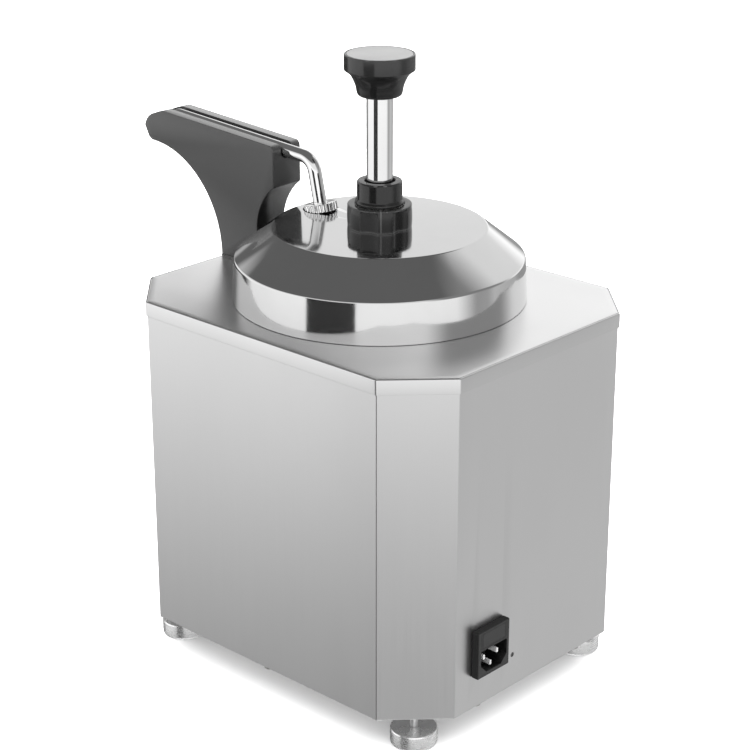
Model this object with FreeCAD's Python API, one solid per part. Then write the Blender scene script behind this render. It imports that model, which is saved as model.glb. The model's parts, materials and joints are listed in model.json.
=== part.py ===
import FreeCAD, Part
import math
import os
from FreeCAD import Vector

# Heated cheese dispenser: an octagonal cabinet with a water well, a lift-out pot, a lid that
# carries a push pump, and a heated spout shroud that the pump's discharge tube lies in.
# Millimetres, +Z up, the spout points to -Y and the mains inlet is on the +Y side.
# Shapes are drawn about the pump axis; save() moves them so that the origin is the centre
# of the whole object's footprint box, at the level of the feet's undersides.

GAP = 0.3                    # clearance between pieces that move on each other
SNUG = 0.1                   # clearance between sheets that lie inside one another
THREAD_FIT = 0.08            # clearance of a screwed or turning shaft in its hole
PAST = 5.0                   # how far a cutting shape reaches past what it cuts
FAR = 400.0                  # beyond the whole object

# cabinet
HALF_X = 122.7
HALF_Y = 148.0
CHAMFER = 38.2
PLATE_TOP = 274.4
SKIRT = 10.7
SHEET = 1.0
WALL_INSET = 1.05
BODY_BOTTOM = 26.2
LIP = 12.0
REAR_PANEL_LAP = 1.2
WALL_FACE = HALF_Y - WALL_INSET
PAN_INSET = 4.0
PAN_VENT = (46.0, 4.0)
PAN_VENT_ROWS = (-24.0, -12.0, 0.0, 12.0, 24.0)
PAN_SCREW_X = 55.0
PAN_SCREW_R = 1.6
PAN_SCREW_HOLE_R = 1.7
PAN_SCREW_HEAD = (3.4, 2.2)  # radius and height
PAN_SCREW_REACH = 6.0
NUT_NOTCH_R = 7.0

# feet
FOOT_X = 91.3
FOOT_Y = 116.7
FOOT_R = 16.4
FOOT_TOP = 11.9
FOOT_EDGE = 0.9
STUD_R = 2.8
STUD_TOP = 38.0
STUD_SOCKET = 4.0
NUT_ACROSS_FLATS = 10.0
NUT_HEIGHT = 5.0

# well and pot
OPENING_R = 94.0
WELL_R = 98.0
WELL_BOTTOM = 68.0
WELL_FLANGE_R = 108.0
POT_R = 92.5
POT_DEPTH = 190.0
POT_SHEET = 0.9
POT_FLANGE_R = 100.0
POT_TOP = PLATE_TOP + 1.3
VESSEL_CORNER = 12.0

# heaters and controls
SPREADER_R = 78.0
SPREADER_THICK = 2.0
ELEMENT_RING_R = 58.0
ELEMENT_R = 4.2
ELEMENT_END_X = 10.0
ELEMENT_END = 28.0
TERMINAL_R = 1.5
TERMINAL = 8.0
CLAMP_TURNS = (30.0, 150.0, 210.0)
CLAMP_REACH = 14.0
CLAMP_HALF = 6.0
CLAMP_SHEET = 1.5
CONTROL_Z = 72.0
KNOB_X = -58.0
PILOT_X = 0.0
SWITCH_X = 52.0
DIAL_R = 19.0
DIAL_DEPTH = 17.0
DIAL_SKIRT = 4.0
DIAL_SHOULDER = 4.5
DIAL_BAR = 3.2
DIAL_CLEARANCE = 1.6
DIAL_RING = (7.0, 0.8)       # width beyond the knob and thickness
SHAFT_R = 3.0
SHAFT_OUT = 14.0
SHAFT_IN = 11.0
THERMOSTAT_SIZE = (16.0, 14.0)
THERMOSTAT_SPAN = (1.1, 25.0)
BULB_R = 3.2
BULB_Z = (90.0, 160.0)
BULB_GAP = 4.0
CAPILLARY_R = 1.0
LAMP_R = 5.6
LAMP_FLANGE = 2.0
LAMP_DOME = (7.2, 4.4)
LAMP_DOME_SINK = 2.6
LAMP_BARREL_R = 4.1
LAMP_BARREL = 22.0
LAMP_HOLE_R = 4.3
SWITCH_CUTOUT = (27.2, 19.2)
SWITCH_BEZEL = 1.6
SWITCH_PROUD = 2.0
SWITCH_DEPTH = 22.0
SWITCH_WELL = (11.4, 7.9)
SWITCH_WELL_DEPTH = 12.0
SWITCH_TAG = (3.0, 0.4)
SWITCH_TAG_X = 7.0
SWITCH_TAG_LENGTH = 9.0
ROCKER_SIZE = (11.1, 6.4)
ROCKER_BACK = 2.0
ROCKER_FRONT = 8.0
ROCKER_PIVOT_R = 3.4
ROCKER_PIVOT_DEPTH = 4.0
ROCKER_DISH_R = 24.0
ROCKER_DISH_AT = -30.6
ROCKER_TILT = 8.0
RESET_X = 23.2
RESET_Z = 51.0
RESET_HOLE_R = 1.75
CUTOUT_R = 8.5
CUTOUT_DEPTH = 12.0
CUTOUT_EAR = (12.5, 5.0)
CUTOUT_EAR_SHEET = 2.0
BUTTON_R = 1.4
BUTTON_BORE = (1.7, 6.0)
BUTTON_SPAN = (0.6, -3.5)

# mains inlet
INLET_X = 50.7
INLET_Z = 68.7
INLET_SIZE = (33.0, 35.4)
INLET_FACE = HALF_Y + 5.0
INLET_BODY = (29.2, 33.4)
INLET_BACK = 118.0
SOCKET_WIDTH = 27.2
SOCKET_Z = (54.4, 71.8)
SOCKET_DEPTH = 16.0
SOCKET_CORNER = 6.0
PIN_SIZE = (1.8, 3.6)
PIN_SPACING = 14.0
PIN_Z = 64.2
EARTH_Z = 57.4
PIN_RECESS = 2.7
DRAWER_SIZE = (23.0, 10.4)
DRAWER_Z = 79.0
DRAWER_DEPTH = 22.0
FUSE_R = 2.6
FUSE_LENGTH = 20.0
FUSE_X = 5.6
TAG_LENGTH = 7.0
LEAD_RUN_Z = 42.0
LOOM_R = 2.4

# lid
LID_RIM_R = 104.0
LID_SHOULDER = (102.5, 304.0)
LID_TOP = (75.4, 325.7)
LID_SHEET = 1.2
LID_BEND = 3.0
TUBE_SEAT_R = (12.9, 14.5)   # recess for the tube's nut and the pad under it
TUBE_SEAT = -1.5             # recess floor along the tube's axis from the lid's top
TUBE_PAD = -4.1
LID_BOTTOM = PLATE_TOP + GAP

# pump
BARREL_R = 19.0
BARREL_BORE = 17.2
BARREL_TOP = 320.0
BARREL_BOTTOM = 128.0
NECK_R = 15.9
NECK_BORE = 12.6
NECK_TOP = 342.2
CLAMP_R = 25.0
GUIDE_TOP = 358.5
ROD_R = 9.2
ROD_TOP = 438.0
ROD_GUIDE_R = 15.8
SLEEVE_BOTTOM = 326.0
WIPER_R = 10.5
WIPER_DEPTH = 2.5
KNOB_TOP = 447.2
KNOB_R = 24.5
KNOB_UNDERSIDE = [
    (13.4, 418.0), (14.2, 418.4), (15.5, 419.8), (16.1, 421.9), (16.8, 425.3), (18.15, 428.8),
    (19.9, 432.3), (22.0, 434.6), (KNOB_R, 436.2),
]
PISTON_TOP = 306.0
PISTON_HEIGHT = 14.0
PISTON_R = 16.6
SPIGOT_R = 5.0
SEAL_HEIGHT = 4.0
SEAL_DEPTH = 2.6
SEAL_TOP = PISTON_TOP - 5.0
SEAL_FIT = 0.25
LOCK_NUT_R = 22.95
LOCK_NUT_LOBES = 6
LOCK_NUT_GROOVE_R = 9.0
LOCK_NUT_GROOVE_OUT = 6.1
LOCK_NUT_GROOVE_TOP = 1.0    # the grooves stop this far below the top
LOCK_NUT_FIRST_GROOVE = 22.8
VALVE_BOTTOM = 100.0
VALVE_TOP = 140.0
VALVE_R = 20.6
CHAMBER_R = 11.0
SEAT_Z = 104.0
SEAT_R = 5.0
BALL_R = 8.0
BALL_LIFT = 4.0
RETAINER_Z = 123.4
RETAINER_THICK = 2.0
RETAINER_HOLES = 6
RETAINER_HOLE_R = 2.6
RETAINER_HOLES_AT = 7.6
O_RING = 1.6
SPRING_R = 14.3
SPRING_WIRE_R = 1.25
SPRING_TURNS = 9

# discharge tube
TUBE_R = 4.9
TUBE_WALL = 0.9
TUBE_LEAN = 12.5
TUBE_AT_LID = (-56.9, LID_TOP[1])
RISER_Y = -34.0
TUBE_START = 135.0
TUBE_OUTLET_Z = 347.5
TUBE_TIP_Y = -214.0
TUBE_BEND = 12.0
TUBE_LEAN_BEND = 40.0
TUBE_NUT_R = 11.9
TUBE_NUT_HEIGHT = 5.8
TUBE_NUT_RIBS = 26
TUBE_NUT_LIFT = -1.2         # along the tube's axis from the lid's top
TUBE_NUT_THREAD = 4.5
TUBE_NUT_RIB_R = 1.1
TUBE_NUT_RIB_OUT = 0.5
BUSHING_R = 9.0
BUSHING_FLANGE_R = 12.0
BUSHING_FLANGE = (-8.0, -4.2)
ELBOW_R = 9.0
ELBOW_BOTTOM = 104.0
ELBOW_TOP = 143.0
ELBOW_NECK_R = 8.0
PORT_Z = 115.0
PORT_R = 4.0
OUT_SEAT_Z = 121.0
OUT_SEAT_R = 3.4
OUT_BORE_R = 4.7
OUT_BALL_R = 4.3

# spout shroud
SHROUD_HALF = 14.0
SHROUD_WALL = 2.0
SHROUD_BOTTOM = PLATE_TOP + 1.2
SHROUD_REAR = -91.2
SHROUD_FOOT_REAR = -109.4
SHROUD_FOOT_FRONT = -147.6
REAR_ARC = (-64.0, 301.0)
FRONT_ARC = (-221.8, SHROUD_BOTTOM, 74.2)
NOSE_TIP = (-229.3, 360.3)
NOSE_TOP = (-207.0, 374.3)
SHROUD_REAR_TOP = 367.9
NOSE_CHIN = (-225.0, 351.8)
NOSE_BULGE = (-226.4, 366.0)
NOSE_BROW = (-218.2, 371.0)
NOSE_CROWN = (-212.8, 373.1)
TOP_CORNER = 4.0
TOP_CORNER_MID = (1.2, 1.1)
SHROUD_SCREW_IN = 7.6
SHROUD_SCREW_R = 2.0
SHROUD_SCREW_HOLE_R = 2.2
SHROUD_SCREW_HEAD = (4.0, 2.6)
SHROUD_SCREW_REACH = 11.0
WEB_HALF = 4.0
WEB_HEIGHT = 14.0
LEAD_HOLE_R = 4.0
LEAD_R = 1.8
GROMMET_R = 5.6
HEAD_FRONT = -198.0          # the solid head thickens in front of this
HEAD_FRONT_Z = 330.0
GROOVE_R = 5.8
GROOVE_DROP = 5.0            # depth of the tube's centre line below the shroud's top edge
HEAD_DEPTH = 8.0             # solid metal below the groove's centre line
HEAD_START = 20.0
BLOCK_START = SHROUD_REAR - HEAD_START
BLOCK_SIZE = (20.0, 76.0, 14.0)
CARTRIDGE_R = 4.0
CARTRIDGE_LENGTH = 70.0
LIFT_TILT = 20.0             # the lid lifts out up and back at this angle to clear the shroud

AXIS_Y = (-NOSE_TIP[0] - INLET_FACE) / 2.0


def save(node, shape):
    """Move the shape into the object's frame and write it as one node."""
    moved = shape.copy()
    moved.translate(Vector(0.0, AXIS_Y, 0.0))
    moved.exportStep("parts/" + node + ".step")


def box(x, y, z):
    """A box between pairs of x, y and z limits."""
    corner = Vector(min(x), min(y), min(z))
    return Part.makeBox(abs(x[1] - x[0]), abs(y[1] - y[0]), abs(z[1] - z[0]), corner)


def upright(radius, low, high, x=0.0, y=0.0):
    """A vertical cylinder between two heights."""
    return Part.makeCylinder(radius, high - low, Vector(x, y, low))


def along_y(radius, start, end, x, z):
    """A cylinder along Y between two places."""
    low = min(start, end)
    return Part.makeCylinder(radius, abs(end - start), Vector(x, low, z), Vector(0, 1, 0))


def turned(outline, x=0.0, y=0.0):
    """A solid of revolution about a vertical axis from a closed (radius, height) outline."""
    points = [Vector(r, 0.0, z) for r, z in outline]
    face = Part.Face(Part.makePolygon(points + [points[0]]))
    solid = face.revolve(Vector(0, 0, 0), Vector(0, 0, 1), 360)
    solid.translate(Vector(x, y, 0.0))
    return solid


def fuse(shapes):
    """One solid from several that touch or overlap."""
    return shapes[0].multiFuse(shapes[1:]).removeSplitter()


def ring_edges(shape, radius, z):
    """The round edges of a turned shape at one radius and height."""
    found = []
    for edge in shape.Edges:
        curve = edge.Curve
        if not isinstance(curve, Part.Circle):
            continue
        if abs(curve.Radius - radius) < 0.05 and abs(curve.Center.z - z) < 0.05:
            found.append(edge)
    return found


def octagon(inset):
    """Corners of the cabinet's octagon, moved in by the inset on every side."""
    x = HALF_X - inset
    y = HALF_Y - inset
    cut = CHAMFER - inset * (2.0 - math.sqrt(2.0))
    corners = [(x, y - cut), (x - cut, y), (cut - x, y), (-x, y - cut)]
    return corners + [(-a, -b) for a, b in corners]


def octagon_prism(inset, low, high):
    """A solid octagonal prism."""
    points = [Vector(a, b, low) for a, b in octagon(inset)]
    face = Part.Face(Part.makePolygon(points + [points[0]]))
    return face.extrude(Vector(0, 0, high - low))


def octagon_shell(inset, thick, low, high):
    """An octagonal tube of sheet."""
    inside = octagon_prism(inset + thick, low - PAST, high + PAST)
    return octagon_prism(inset, low, high).cut(inside)


def seam_y():
    """Where the side walls end and the rear panel starts."""
    return octagon(WALL_INSET)[0][1]


def in_front_of(shape, y):
    """The part of a shape on the spout side of y."""
    return shape.common(box((-FAR, FAR), (-FAR, y), (0.0, FAR)))


def behind(shape, y):
    """The part of a shape on the inlet side of y."""
    return shape.common(box((-FAR, FAR), (y, FAR), (0.0, FAR)))


def foot_places():
    """The four feet by name."""
    names = {"front": -1, "rear": 1}
    sides = {"left": 1, "right": -1}
    return {
        end + "_" + side: (sides[side] * FOOT_X, names[end] * FOOT_Y)
        for end in names
        for side in sides
    }


def pan_screw_places():
    """Screws that hold the base pan to the walls' bottom lips."""
    x = HALF_X - WALL_INSET - LIP / 2.0
    y = HALF_Y - WALL_INSET - LIP / 2.0
    sides = [(x, 0.0), (-x, 0.0)]
    return sides + [(side * PAN_SCREW_X, end * y) for end in (1, -1) for side in (1, -1)]


def hex_prism(x, y, low, high, across):
    """A hexagonal nut blank."""
    corner_r = across / math.sqrt(3.0)
    turns = [math.radians(60.0 * i) for i in range(7)]
    points = [Vector(x + corner_r * math.cos(t), y + corner_r * math.sin(t), low) for t in turns]
    return Part.Face(Part.makePolygon(points)).extrude(Vector(0, 0, high - low))


# ---------------------------------------------------------------- cabinet

def top_plate():
    top = octagon_prism(0.0, PLATE_TOP - SHEET, PLATE_TOP)
    skirt = octagon_shell(0.0, WALL_INSET - SNUG, PLATE_TOP - SKIRT, PLATE_TOP)
    plate = fuse([top, skirt])
    low = PLATE_TOP - PAST
    high = PLATE_TOP + PAST
    plate = plate.cut(upright(OPENING_R, low, high))
    for y in shroud_screw_rows():
        plate = plate.cut(upright(SHROUD_SCREW_HOLE_R, low, high, 0.0, y))
    return plate.cut(upright(LEAD_HOLE_R, low, high, 0.0, shroud_lead_y()))


def wall_with_lip(keep):
    """One wall sheet with its inward lip at the bottom; keep() cuts it to its own stretch."""
    top = PLATE_TOP - SHEET - SNUG
    wall = octagon_shell(WALL_INSET, SHEET, BODY_BOTTOM, top)
    lip = octagon_shell(WALL_INSET, LIP, BODY_BOTTOM, BODY_BOTTOM + SHEET)
    return keep(fuse([wall, lip]))


def drill_lip(shape):
    """Screw holes in the bottom lip, and notches that clear the feet's nuts."""
    low = BODY_BOTTOM - PAST
    high = BODY_BOTTOM + PAST
    for x, y in pan_screw_places():
        shape = shape.cut(upright(PAN_SCREW_HOLE_R, low, high, x, y))
    for x, y in foot_places().values():
        shape = shape.cut(upright(NUT_NOTCH_R, low, high, x, y))
    return shape


def body_wrap():
    wrap = wall_with_lip(lambda shape: in_front_of(shape, seam_y()))
    wrap = drill_lip(wrap)
    front = (-WALL_FACE - PAST, -WALL_FACE + PAST)
    wrap = wrap.cut(along_y(SHAFT_R + 1.0, front[0], front[1], KNOB_X, CONTROL_Z))
    wrap = wrap.cut(along_y(LAMP_HOLE_R, front[0], front[1], PILOT_X, CONTROL_Z))
    half_x = SWITCH_CUTOUT[0] / 2.0
    half_z = SWITCH_CUTOUT[1] / 2.0
    span_x = (SWITCH_X - half_x, SWITCH_X + half_x)
    span_z = (CONTROL_Z - half_z, CONTROL_Z + half_z)
    return wrap.cut(box(span_x, front, span_z))


def rear_panel():
    """Rear wall and both rear chamfers, with lips that lap inside the side walls."""
    start = seam_y() + SNUG
    panel = wall_with_lip(lambda shape: behind(shape, start))
    low = BODY_BOTTOM + SHEET
    high = PLATE_TOP - SHEET - SNUG
    inner = WALL_INSET + SHEET + SNUG
    lap = octagon_shell(inner, SHEET, low, high)
    lap = lap.common(box((-FAR, FAR), (start - LIP, start + REAR_PANEL_LAP), (0.0, FAR)))
    joggle = octagon_shell(WALL_INSET, 2.0 * SHEET + SNUG, low, high)
    joggle = joggle.common(box((-FAR, FAR), (start, start + REAR_PANEL_LAP), (0.0, FAR)))
    panel = fuse([panel, joggle, lap])
    panel = drill_lip(panel)
    through = (WALL_FACE - PAST, WALL_FACE + PAST)
    half_x = INLET_BODY[0] / 2.0 + SNUG
    half_z = INLET_BODY[1] / 2.0 + SNUG
    span_x = (INLET_X - half_x, INLET_X + half_x)
    span_z = (INLET_Z - half_z, INLET_Z + half_z)
    panel = panel.cut(box(span_x, through, span_z))
    return panel.cut(along_y(RESET_HOLE_R, through[0], through[1], RESET_X, RESET_Z))


def base_pan():
    pan = octagon_prism(PAN_INSET, BODY_BOTTOM - SHEET, BODY_BOTTOM)
    low = BODY_BOTTOM - PAST
    high = BODY_BOTTOM + PAST
    for x, y in foot_places().values():
        pan = pan.cut(upright(STUD_R + GAP, low, high, x, y))
    for x, y in pan_screw_places():
        pan = pan.cut(upright(PAN_SCREW_HOLE_R, low, high, x, y))
    half_x = PAN_VENT[0] / 2.0
    half_y = PAN_VENT[1] / 2.0
    for y in PAN_VENT_ROWS:
        pan = pan.cut(box((-half_x, half_x), (y - half_y, y + half_y), (low, high)))
    return pan


def pan_screws():
    screws = []
    under = BODY_BOTTOM - SHEET
    head_r, head_height = PAN_SCREW_HEAD
    for x, y in pan_screw_places():
        head = upright(head_r, under - head_height, under, x, y)
        shank = upright(PAN_SCREW_R, under, BODY_BOTTOM + PAN_SCREW_REACH, x, y)
        screws.append(fuse([head, shank]))
    return Part.makeCompound(screws)


def foot(x, y):
    """A solid round foot with a softened sole and a chamfered top edge."""
    outline = [
        (0.0, 0.0), (FOOT_R - 2.2, 0.0), (FOOT_R - 0.8, 0.8), (FOOT_R, 2.2),
        (FOOT_R, FOOT_TOP - FOOT_EDGE), (FOOT_R - FOOT_EDGE, FOOT_TOP), (STUD_R, FOOT_TOP),
        (STUD_R, STUD_SOCKET), (0.0, STUD_SOCKET),
    ]
    return turned(outline, x, y)


def stud(x, y):
    return upright(STUD_R, STUD_SOCKET, STUD_TOP, x, y)


def foot_nuts():
    nuts = []
    for x, y in foot_places().values():
        nut = hex_prism(x, y, BODY_BOTTOM, BODY_BOTTOM + NUT_HEIGHT, NUT_ACROSS_FLATS)
        nuts.append(nut.cut(upright(STUD_R + THREAD_FIT, BODY_BOTTOM - PAST, STUD_TOP, x, y)))
    return Part.makeCompound(nuts)


# ---------------------------------------------------------------- well, pot and heater

def vessel(radius, thick, bottom, top, flange_r):
    """A round drawn vessel with a rounded bottom corner and a flat flange."""
    outer = upright(radius, bottom, top)
    outer = outer.makeFillet(VESSEL_CORNER, ring_edges(outer, radius, bottom))
    inner = upright(radius - thick, bottom + thick, top + 1.0)
    edges = ring_edges(inner, radius - thick, bottom + thick)
    inner = inner.makeFillet(VESSEL_CORNER - thick, edges)
    flange = upright(flange_r, top - thick, top)
    return fuse([outer, flange]).cut(inner)


def water_well():
    top = PLATE_TOP - SHEET
    return vessel(WELL_R, SHEET, WELL_BOTTOM, top, WELL_FLANGE_R)


def inset_pot():
    return vessel(POT_R, POT_SHEET, POT_TOP - POT_DEPTH, POT_TOP, POT_FLANGE_R)


def heat_spreader():
    return upright(SPREADER_R, WELL_BOTTOM - SPREADER_THICK, WELL_BOTTOM)


def element_centre_z():
    return WELL_BOTTOM - SPREADER_THICK - ELEMENT_R


def heating_element():
    """A tubular ring under the spreader, with two cold ends that point forward."""
    z = element_centre_z()
    ring = Part.makeTorus(ELEMENT_RING_R, ELEMENT_R, Vector(0, 0, z))
    reach = math.sqrt(ELEMENT_RING_R ** 2 - ELEMENT_END_X ** 2)
    end = -reach - ELEMENT_END
    ends = []
    for x in (-ELEMENT_END_X, ELEMENT_END_X):
        ends.append(along_y(ELEMENT_R, -reach, end, x, z))
        ends.append(along_y(TERMINAL_R, end, end - TERMINAL, x, z))
    return fuse([ring] + ends)


def element_clamps():
    """Three sheet bridges that hold the ring against the spreader."""
    z = element_centre_z()
    high = WELL_BOTTOM - SPREADER_THICK
    span = (ELEMENT_RING_R - CLAMP_REACH, ELEMENT_RING_R + CLAMP_REACH)
    bar = box(span, (-CLAMP_HALF, CLAMP_HALF), (z - ELEMENT_R - CLAMP_SHEET, high))
    bar = bar.cut(Part.makeTorus(ELEMENT_RING_R, ELEMENT_R + THREAD_FIT, Vector(0, 0, z)))
    clamps = []
    for turn in CLAMP_TURNS:
        clamp = bar.copy()
        clamp.rotate(Vector(0, 0, 0), Vector(0, 0, 1), turn)
        clamps.append(clamp)
    return Part.makeCompound(clamps)


# ---------------------------------------------------------------- controls

def thermostat_body():
    half_x, half_z = THERMOSTAT_SIZE
    start, end = THERMOSTAT_SPAN
    case = box((KNOB_X - half_x, KNOB_X + half_x), (-WALL_FACE + start, -WALL_FACE + end),
               (CONTROL_Z - half_z, CONTROL_Z + half_z))
    return case.cut(along_y(SHAFT_R + THREAD_FIT, -WALL_FACE, -WALL_FACE + SHAFT_IN + 1.0,
                            KNOB_X, CONTROL_Z))


def thermostat_shaft():
    return along_y(SHAFT_R, -WALL_FACE - SHAFT_OUT, -WALL_FACE + SHAFT_IN, KNOB_X, CONTROL_Z)


def thermostat_knob():
    """A skirted knob with a raised pointer bar across its face."""
    back = -WALL_FACE - DIAL_CLEARANCE
    front = back - DIAL_DEPTH
    step = back - DIAL_SKIRT
    skirt = along_y(DIAL_R, back, step, KNOB_X, CONTROL_Z)
    hub = along_y(DIAL_R - DIAL_SHOULDER, step, front + 2.0, KNOB_X, CONTROL_Z)
    bar = box((KNOB_X - DIAL_BAR, KNOB_X + DIAL_BAR), (step, front),
              (CONTROL_Z - DIAL_R + DIAL_SHOULDER, CONTROL_Z + DIAL_R - 1.0))
    knob = fuse([skirt, hub, bar])
    return knob.cut(along_y(SHAFT_R, back + 1.0, -WALL_FACE - SHAFT_OUT, KNOB_X, CONTROL_Z))


def dial_ring():
    """The numbered ring on the wall around the knob."""
    wide, thick = DIAL_RING
    ring = along_y(DIAL_R + wide, -WALL_FACE, -WALL_FACE - thick, KNOB_X, CONTROL_Z)
    return ring.cut(along_y(SHAFT_R + 1.0, -WALL_FACE + 1.0, -WALL_FACE - PAST, KNOB_X, CONTROL_Z))


def tube_along(points, radii, tube_r):
    """A round bar along straight runs joined by tangent arcs."""
    edges = []
    start = points[0]
    for before, corner, after, bend in zip(points, points[1:], points[2:], radii):
        a = (before - corner).normalize()
        b = (after - corner).normalize()
        half = a.getAngle(b) / 2.0
        trim = bend / math.tan(half)
        enter = corner + a * trim
        leave = corner + b * trim
        to_middle = (a + b).normalize()
        middle = corner + to_middle * (bend / math.sin(half) - bend)
        edges.append(Part.LineSegment(start, enter).toShape())
        edges.append(Part.Arc(enter, middle, leave).toShape())
        start = leave
    edges.append(Part.LineSegment(start, points[-1]).toShape())
    path = Part.Wire(edges)
    first = (points[1] - points[0]).normalize()
    ring = Part.Wire(Part.makeCircle(tube_r, points[0], first))
    return path.makePipeShell([ring], True, False)


def thermostat_bulb():
    """The sensing bulb against the well, with its capillary back to the thermostat."""
    bulb_x = -(WELL_R + BULB_GAP)
    low, high = BULB_Z
    end_x = KNOB_X - 6.0
    end_z = CONTROL_Z - 10.0
    bulb = upright(BULB_R, low, high, bulb_x, 0.0)
    route = [
        Vector(bulb_x, 0.0, low), Vector(bulb_x, 0.0, 56.0), Vector(bulb_x, -90.0, 50.0),
        Vector(end_x, -100.0, end_z), Vector(end_x, -WALL_FACE + THERMOSTAT_SPAN[1], end_z),
    ]
    capillary = tube_along(route, [12.0, 14.0, 7.0], CAPILLARY_R)
    return fuse([bulb, capillary])


def pilot_lamp():
    flange_face = -WALL_FACE - LAMP_FLANGE
    dome_r, dome_rim = LAMP_DOME
    flange = along_y(LAMP_R, -WALL_FACE, flange_face, PILOT_X, CONTROL_Z)
    dome = Part.makeSphere(dome_r, Vector(PILOT_X, -WALL_FACE + LAMP_DOME_SINK, CONTROL_Z))
    dome = dome.common(along_y(dome_rim, flange_face, flange_face - PAST, PILOT_X, CONTROL_Z))
    barrel = along_y(LAMP_BARREL_R, -WALL_FACE, -WALL_FACE + LAMP_BARREL, PILOT_X, CONTROL_Z)
    return fuse([flange, dome, barrel])


def rocker_centre():
    return Vector(SWITCH_X, -WALL_FACE + ROCKER_PIVOT_DEPTH, CONTROL_Z)


def switch_housing():
    half_x = SWITCH_CUTOUT[0] / 2.0 - SNUG
    half_z = SWITCH_CUTOUT[1] / 2.0 - SNUG
    well_x, well_z = SWITCH_WELL
    tag_x, tag_z = SWITCH_TAG
    back = -WALL_FACE + SWITCH_DEPTH
    rim = SWITCH_BEZEL
    body = box((SWITCH_X - half_x, SWITCH_X + half_x), (-WALL_FACE, back),
               (CONTROL_Z - half_z, CONTROL_Z + half_z))
    bezel = box((SWITCH_X - half_x - rim, SWITCH_X + half_x + rim),
                (-WALL_FACE - SWITCH_PROUD, -WALL_FACE),
                (CONTROL_Z - half_z - rim, CONTROL_Z + half_z + rim))
    well = box((SWITCH_X - well_x, SWITCH_X + well_x),
               (-WALL_FACE - PAST, -WALL_FACE + SWITCH_WELL_DEPTH),
               (CONTROL_Z - well_z, CONTROL_Z + well_z))
    tags = [
        box((x - tag_x, x + tag_x), (back, back + SWITCH_TAG_LENGTH),
            (CONTROL_Z - tag_z, CONTROL_Z + tag_z))
        for x in (SWITCH_X - SWITCH_TAG_X, SWITCH_X + SWITCH_TAG_X)
    ]
    return fuse([fuse([body, bezel]).cut(well)] + tags)


def switch_rocker():
    """A dished rocker, drawn pressed to its off side."""
    half_x, half_z = ROCKER_SIZE
    across = Vector(1, 0, 0)
    block = box((-half_x, half_x), (-ROCKER_FRONT, ROCKER_BACK), (-half_z, half_z))
    dish = Part.makeCylinder(ROCKER_DISH_R, 4.0 * half_x,
                             Vector(-2.0 * half_x, ROCKER_DISH_AT, 0.0), across)
    pivot = Part.makeCylinder(ROCKER_PIVOT_R, 2.0 * half_x, Vector(-half_x, 0.0, 0.0), across)
    rocker = fuse([block.cut(dish), pivot])
    rocker.rotate(Vector(0, 0, 0), across, ROCKER_TILT)
    rocker.translate(rocker_centre())
    return rocker


def overheat_cutout():
    """A manual-reset limiter behind the small hole in the rear panel."""
    face = WALL_FACE - SHEET - SNUG
    ear_x, ear_z = CUTOUT_EAR
    bore_r, bore_depth = BUTTON_BORE
    case = along_y(CUTOUT_R, face, face - CUTOUT_DEPTH, RESET_X, RESET_Z)
    ears = box((RESET_X - ear_x, RESET_X + ear_x), (face - CUTOUT_EAR_SHEET, face),
               (RESET_Z - ear_z, RESET_Z + ear_z))
    body = fuse([case, ears])
    return body.cut(along_y(bore_r, face + 1.0, face - bore_depth, RESET_X, RESET_Z))


def reset_button():
    face = WALL_FACE - SHEET - SNUG
    start, end = BUTTON_SPAN
    return along_y(BUTTON_R, face + start, face + end, RESET_X, RESET_Z)


# ---------------------------------------------------------------- mains inlet

def socket_outline():
    """The inlet's recess: a rectangle with its two lower corners cut off."""
    half = SOCKET_WIDTH / 2.0
    low, high = SOCKET_Z
    cut = SOCKET_CORNER
    return [
        (-half, high), (half, high), (half, low + cut), (half - cut, low),
        (cut - half, low), (-half, low + cut),
    ]


def inlet_housing():
    wide, tall = INLET_SIZE
    back = WALL_FACE
    bezel = box((INLET_X - wide / 2.0, INLET_X + wide / 2.0), (back, INLET_FACE),
                (INLET_Z - tall / 2.0, INLET_Z + tall / 2.0))
    rim = [e for e in bezel.Edges if min(v.Point.y for v in e.Vertexes) > INLET_FACE - 0.1]
    bezel = bezel.makeChamfer(1.0, rim)
    half_x = INLET_BODY[0] / 2.0
    half_z = INLET_BODY[1] / 2.0
    body = box((INLET_X - half_x, INLET_X + half_x), (INLET_BACK, back),
               (INLET_Z - half_z, INLET_Z + half_z))
    housing = fuse([bezel, body])
    points = [Vector(INLET_X + x, INLET_FACE - SOCKET_DEPTH, z) for x, z in socket_outline()]
    recess = Part.Face(Part.makePolygon(points + [points[0]]))
    recess = recess.extrude(Vector(0, SOCKET_DEPTH + PAST, 0))
    housing = housing.cut(recess)
    half_w = DRAWER_SIZE[0] / 2.0 + GAP
    half_h = DRAWER_SIZE[1] / 2.0 + GAP
    pocket = box((INLET_X - half_w, INLET_X + half_w),
                 (INLET_FACE - DRAWER_DEPTH - GAP, INLET_FACE + 1.0),
                 (DRAWER_Z - half_h, DRAWER_Z + half_h))
    return housing.cut(pocket).cut(inlet_pins())


def inlet_pins():
    """Line, neutral and earth blades, which also stick out at the back as solder tags."""
    half_x = PIN_SIZE[0] / 2.0
    half_z = PIN_SIZE[1] / 2.0
    places = [(-PIN_SPACING / 2.0, PIN_Z), (PIN_SPACING / 2.0, PIN_Z), (0.0, EARTH_Z)]
    pins = []
    for x, z in places:
        pins.append(box((INLET_X + x - half_x, INLET_X + x + half_x),
                        (INLET_BACK - TAG_LENGTH, INLET_FACE - PIN_RECESS),
                        (z - half_z, z + half_z)))
    return Part.makeCompound(pins)


def fuse_places():
    return [(INLET_X - FUSE_X, DRAWER_Z), (INLET_X + FUSE_X, DRAWER_Z)]


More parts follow.
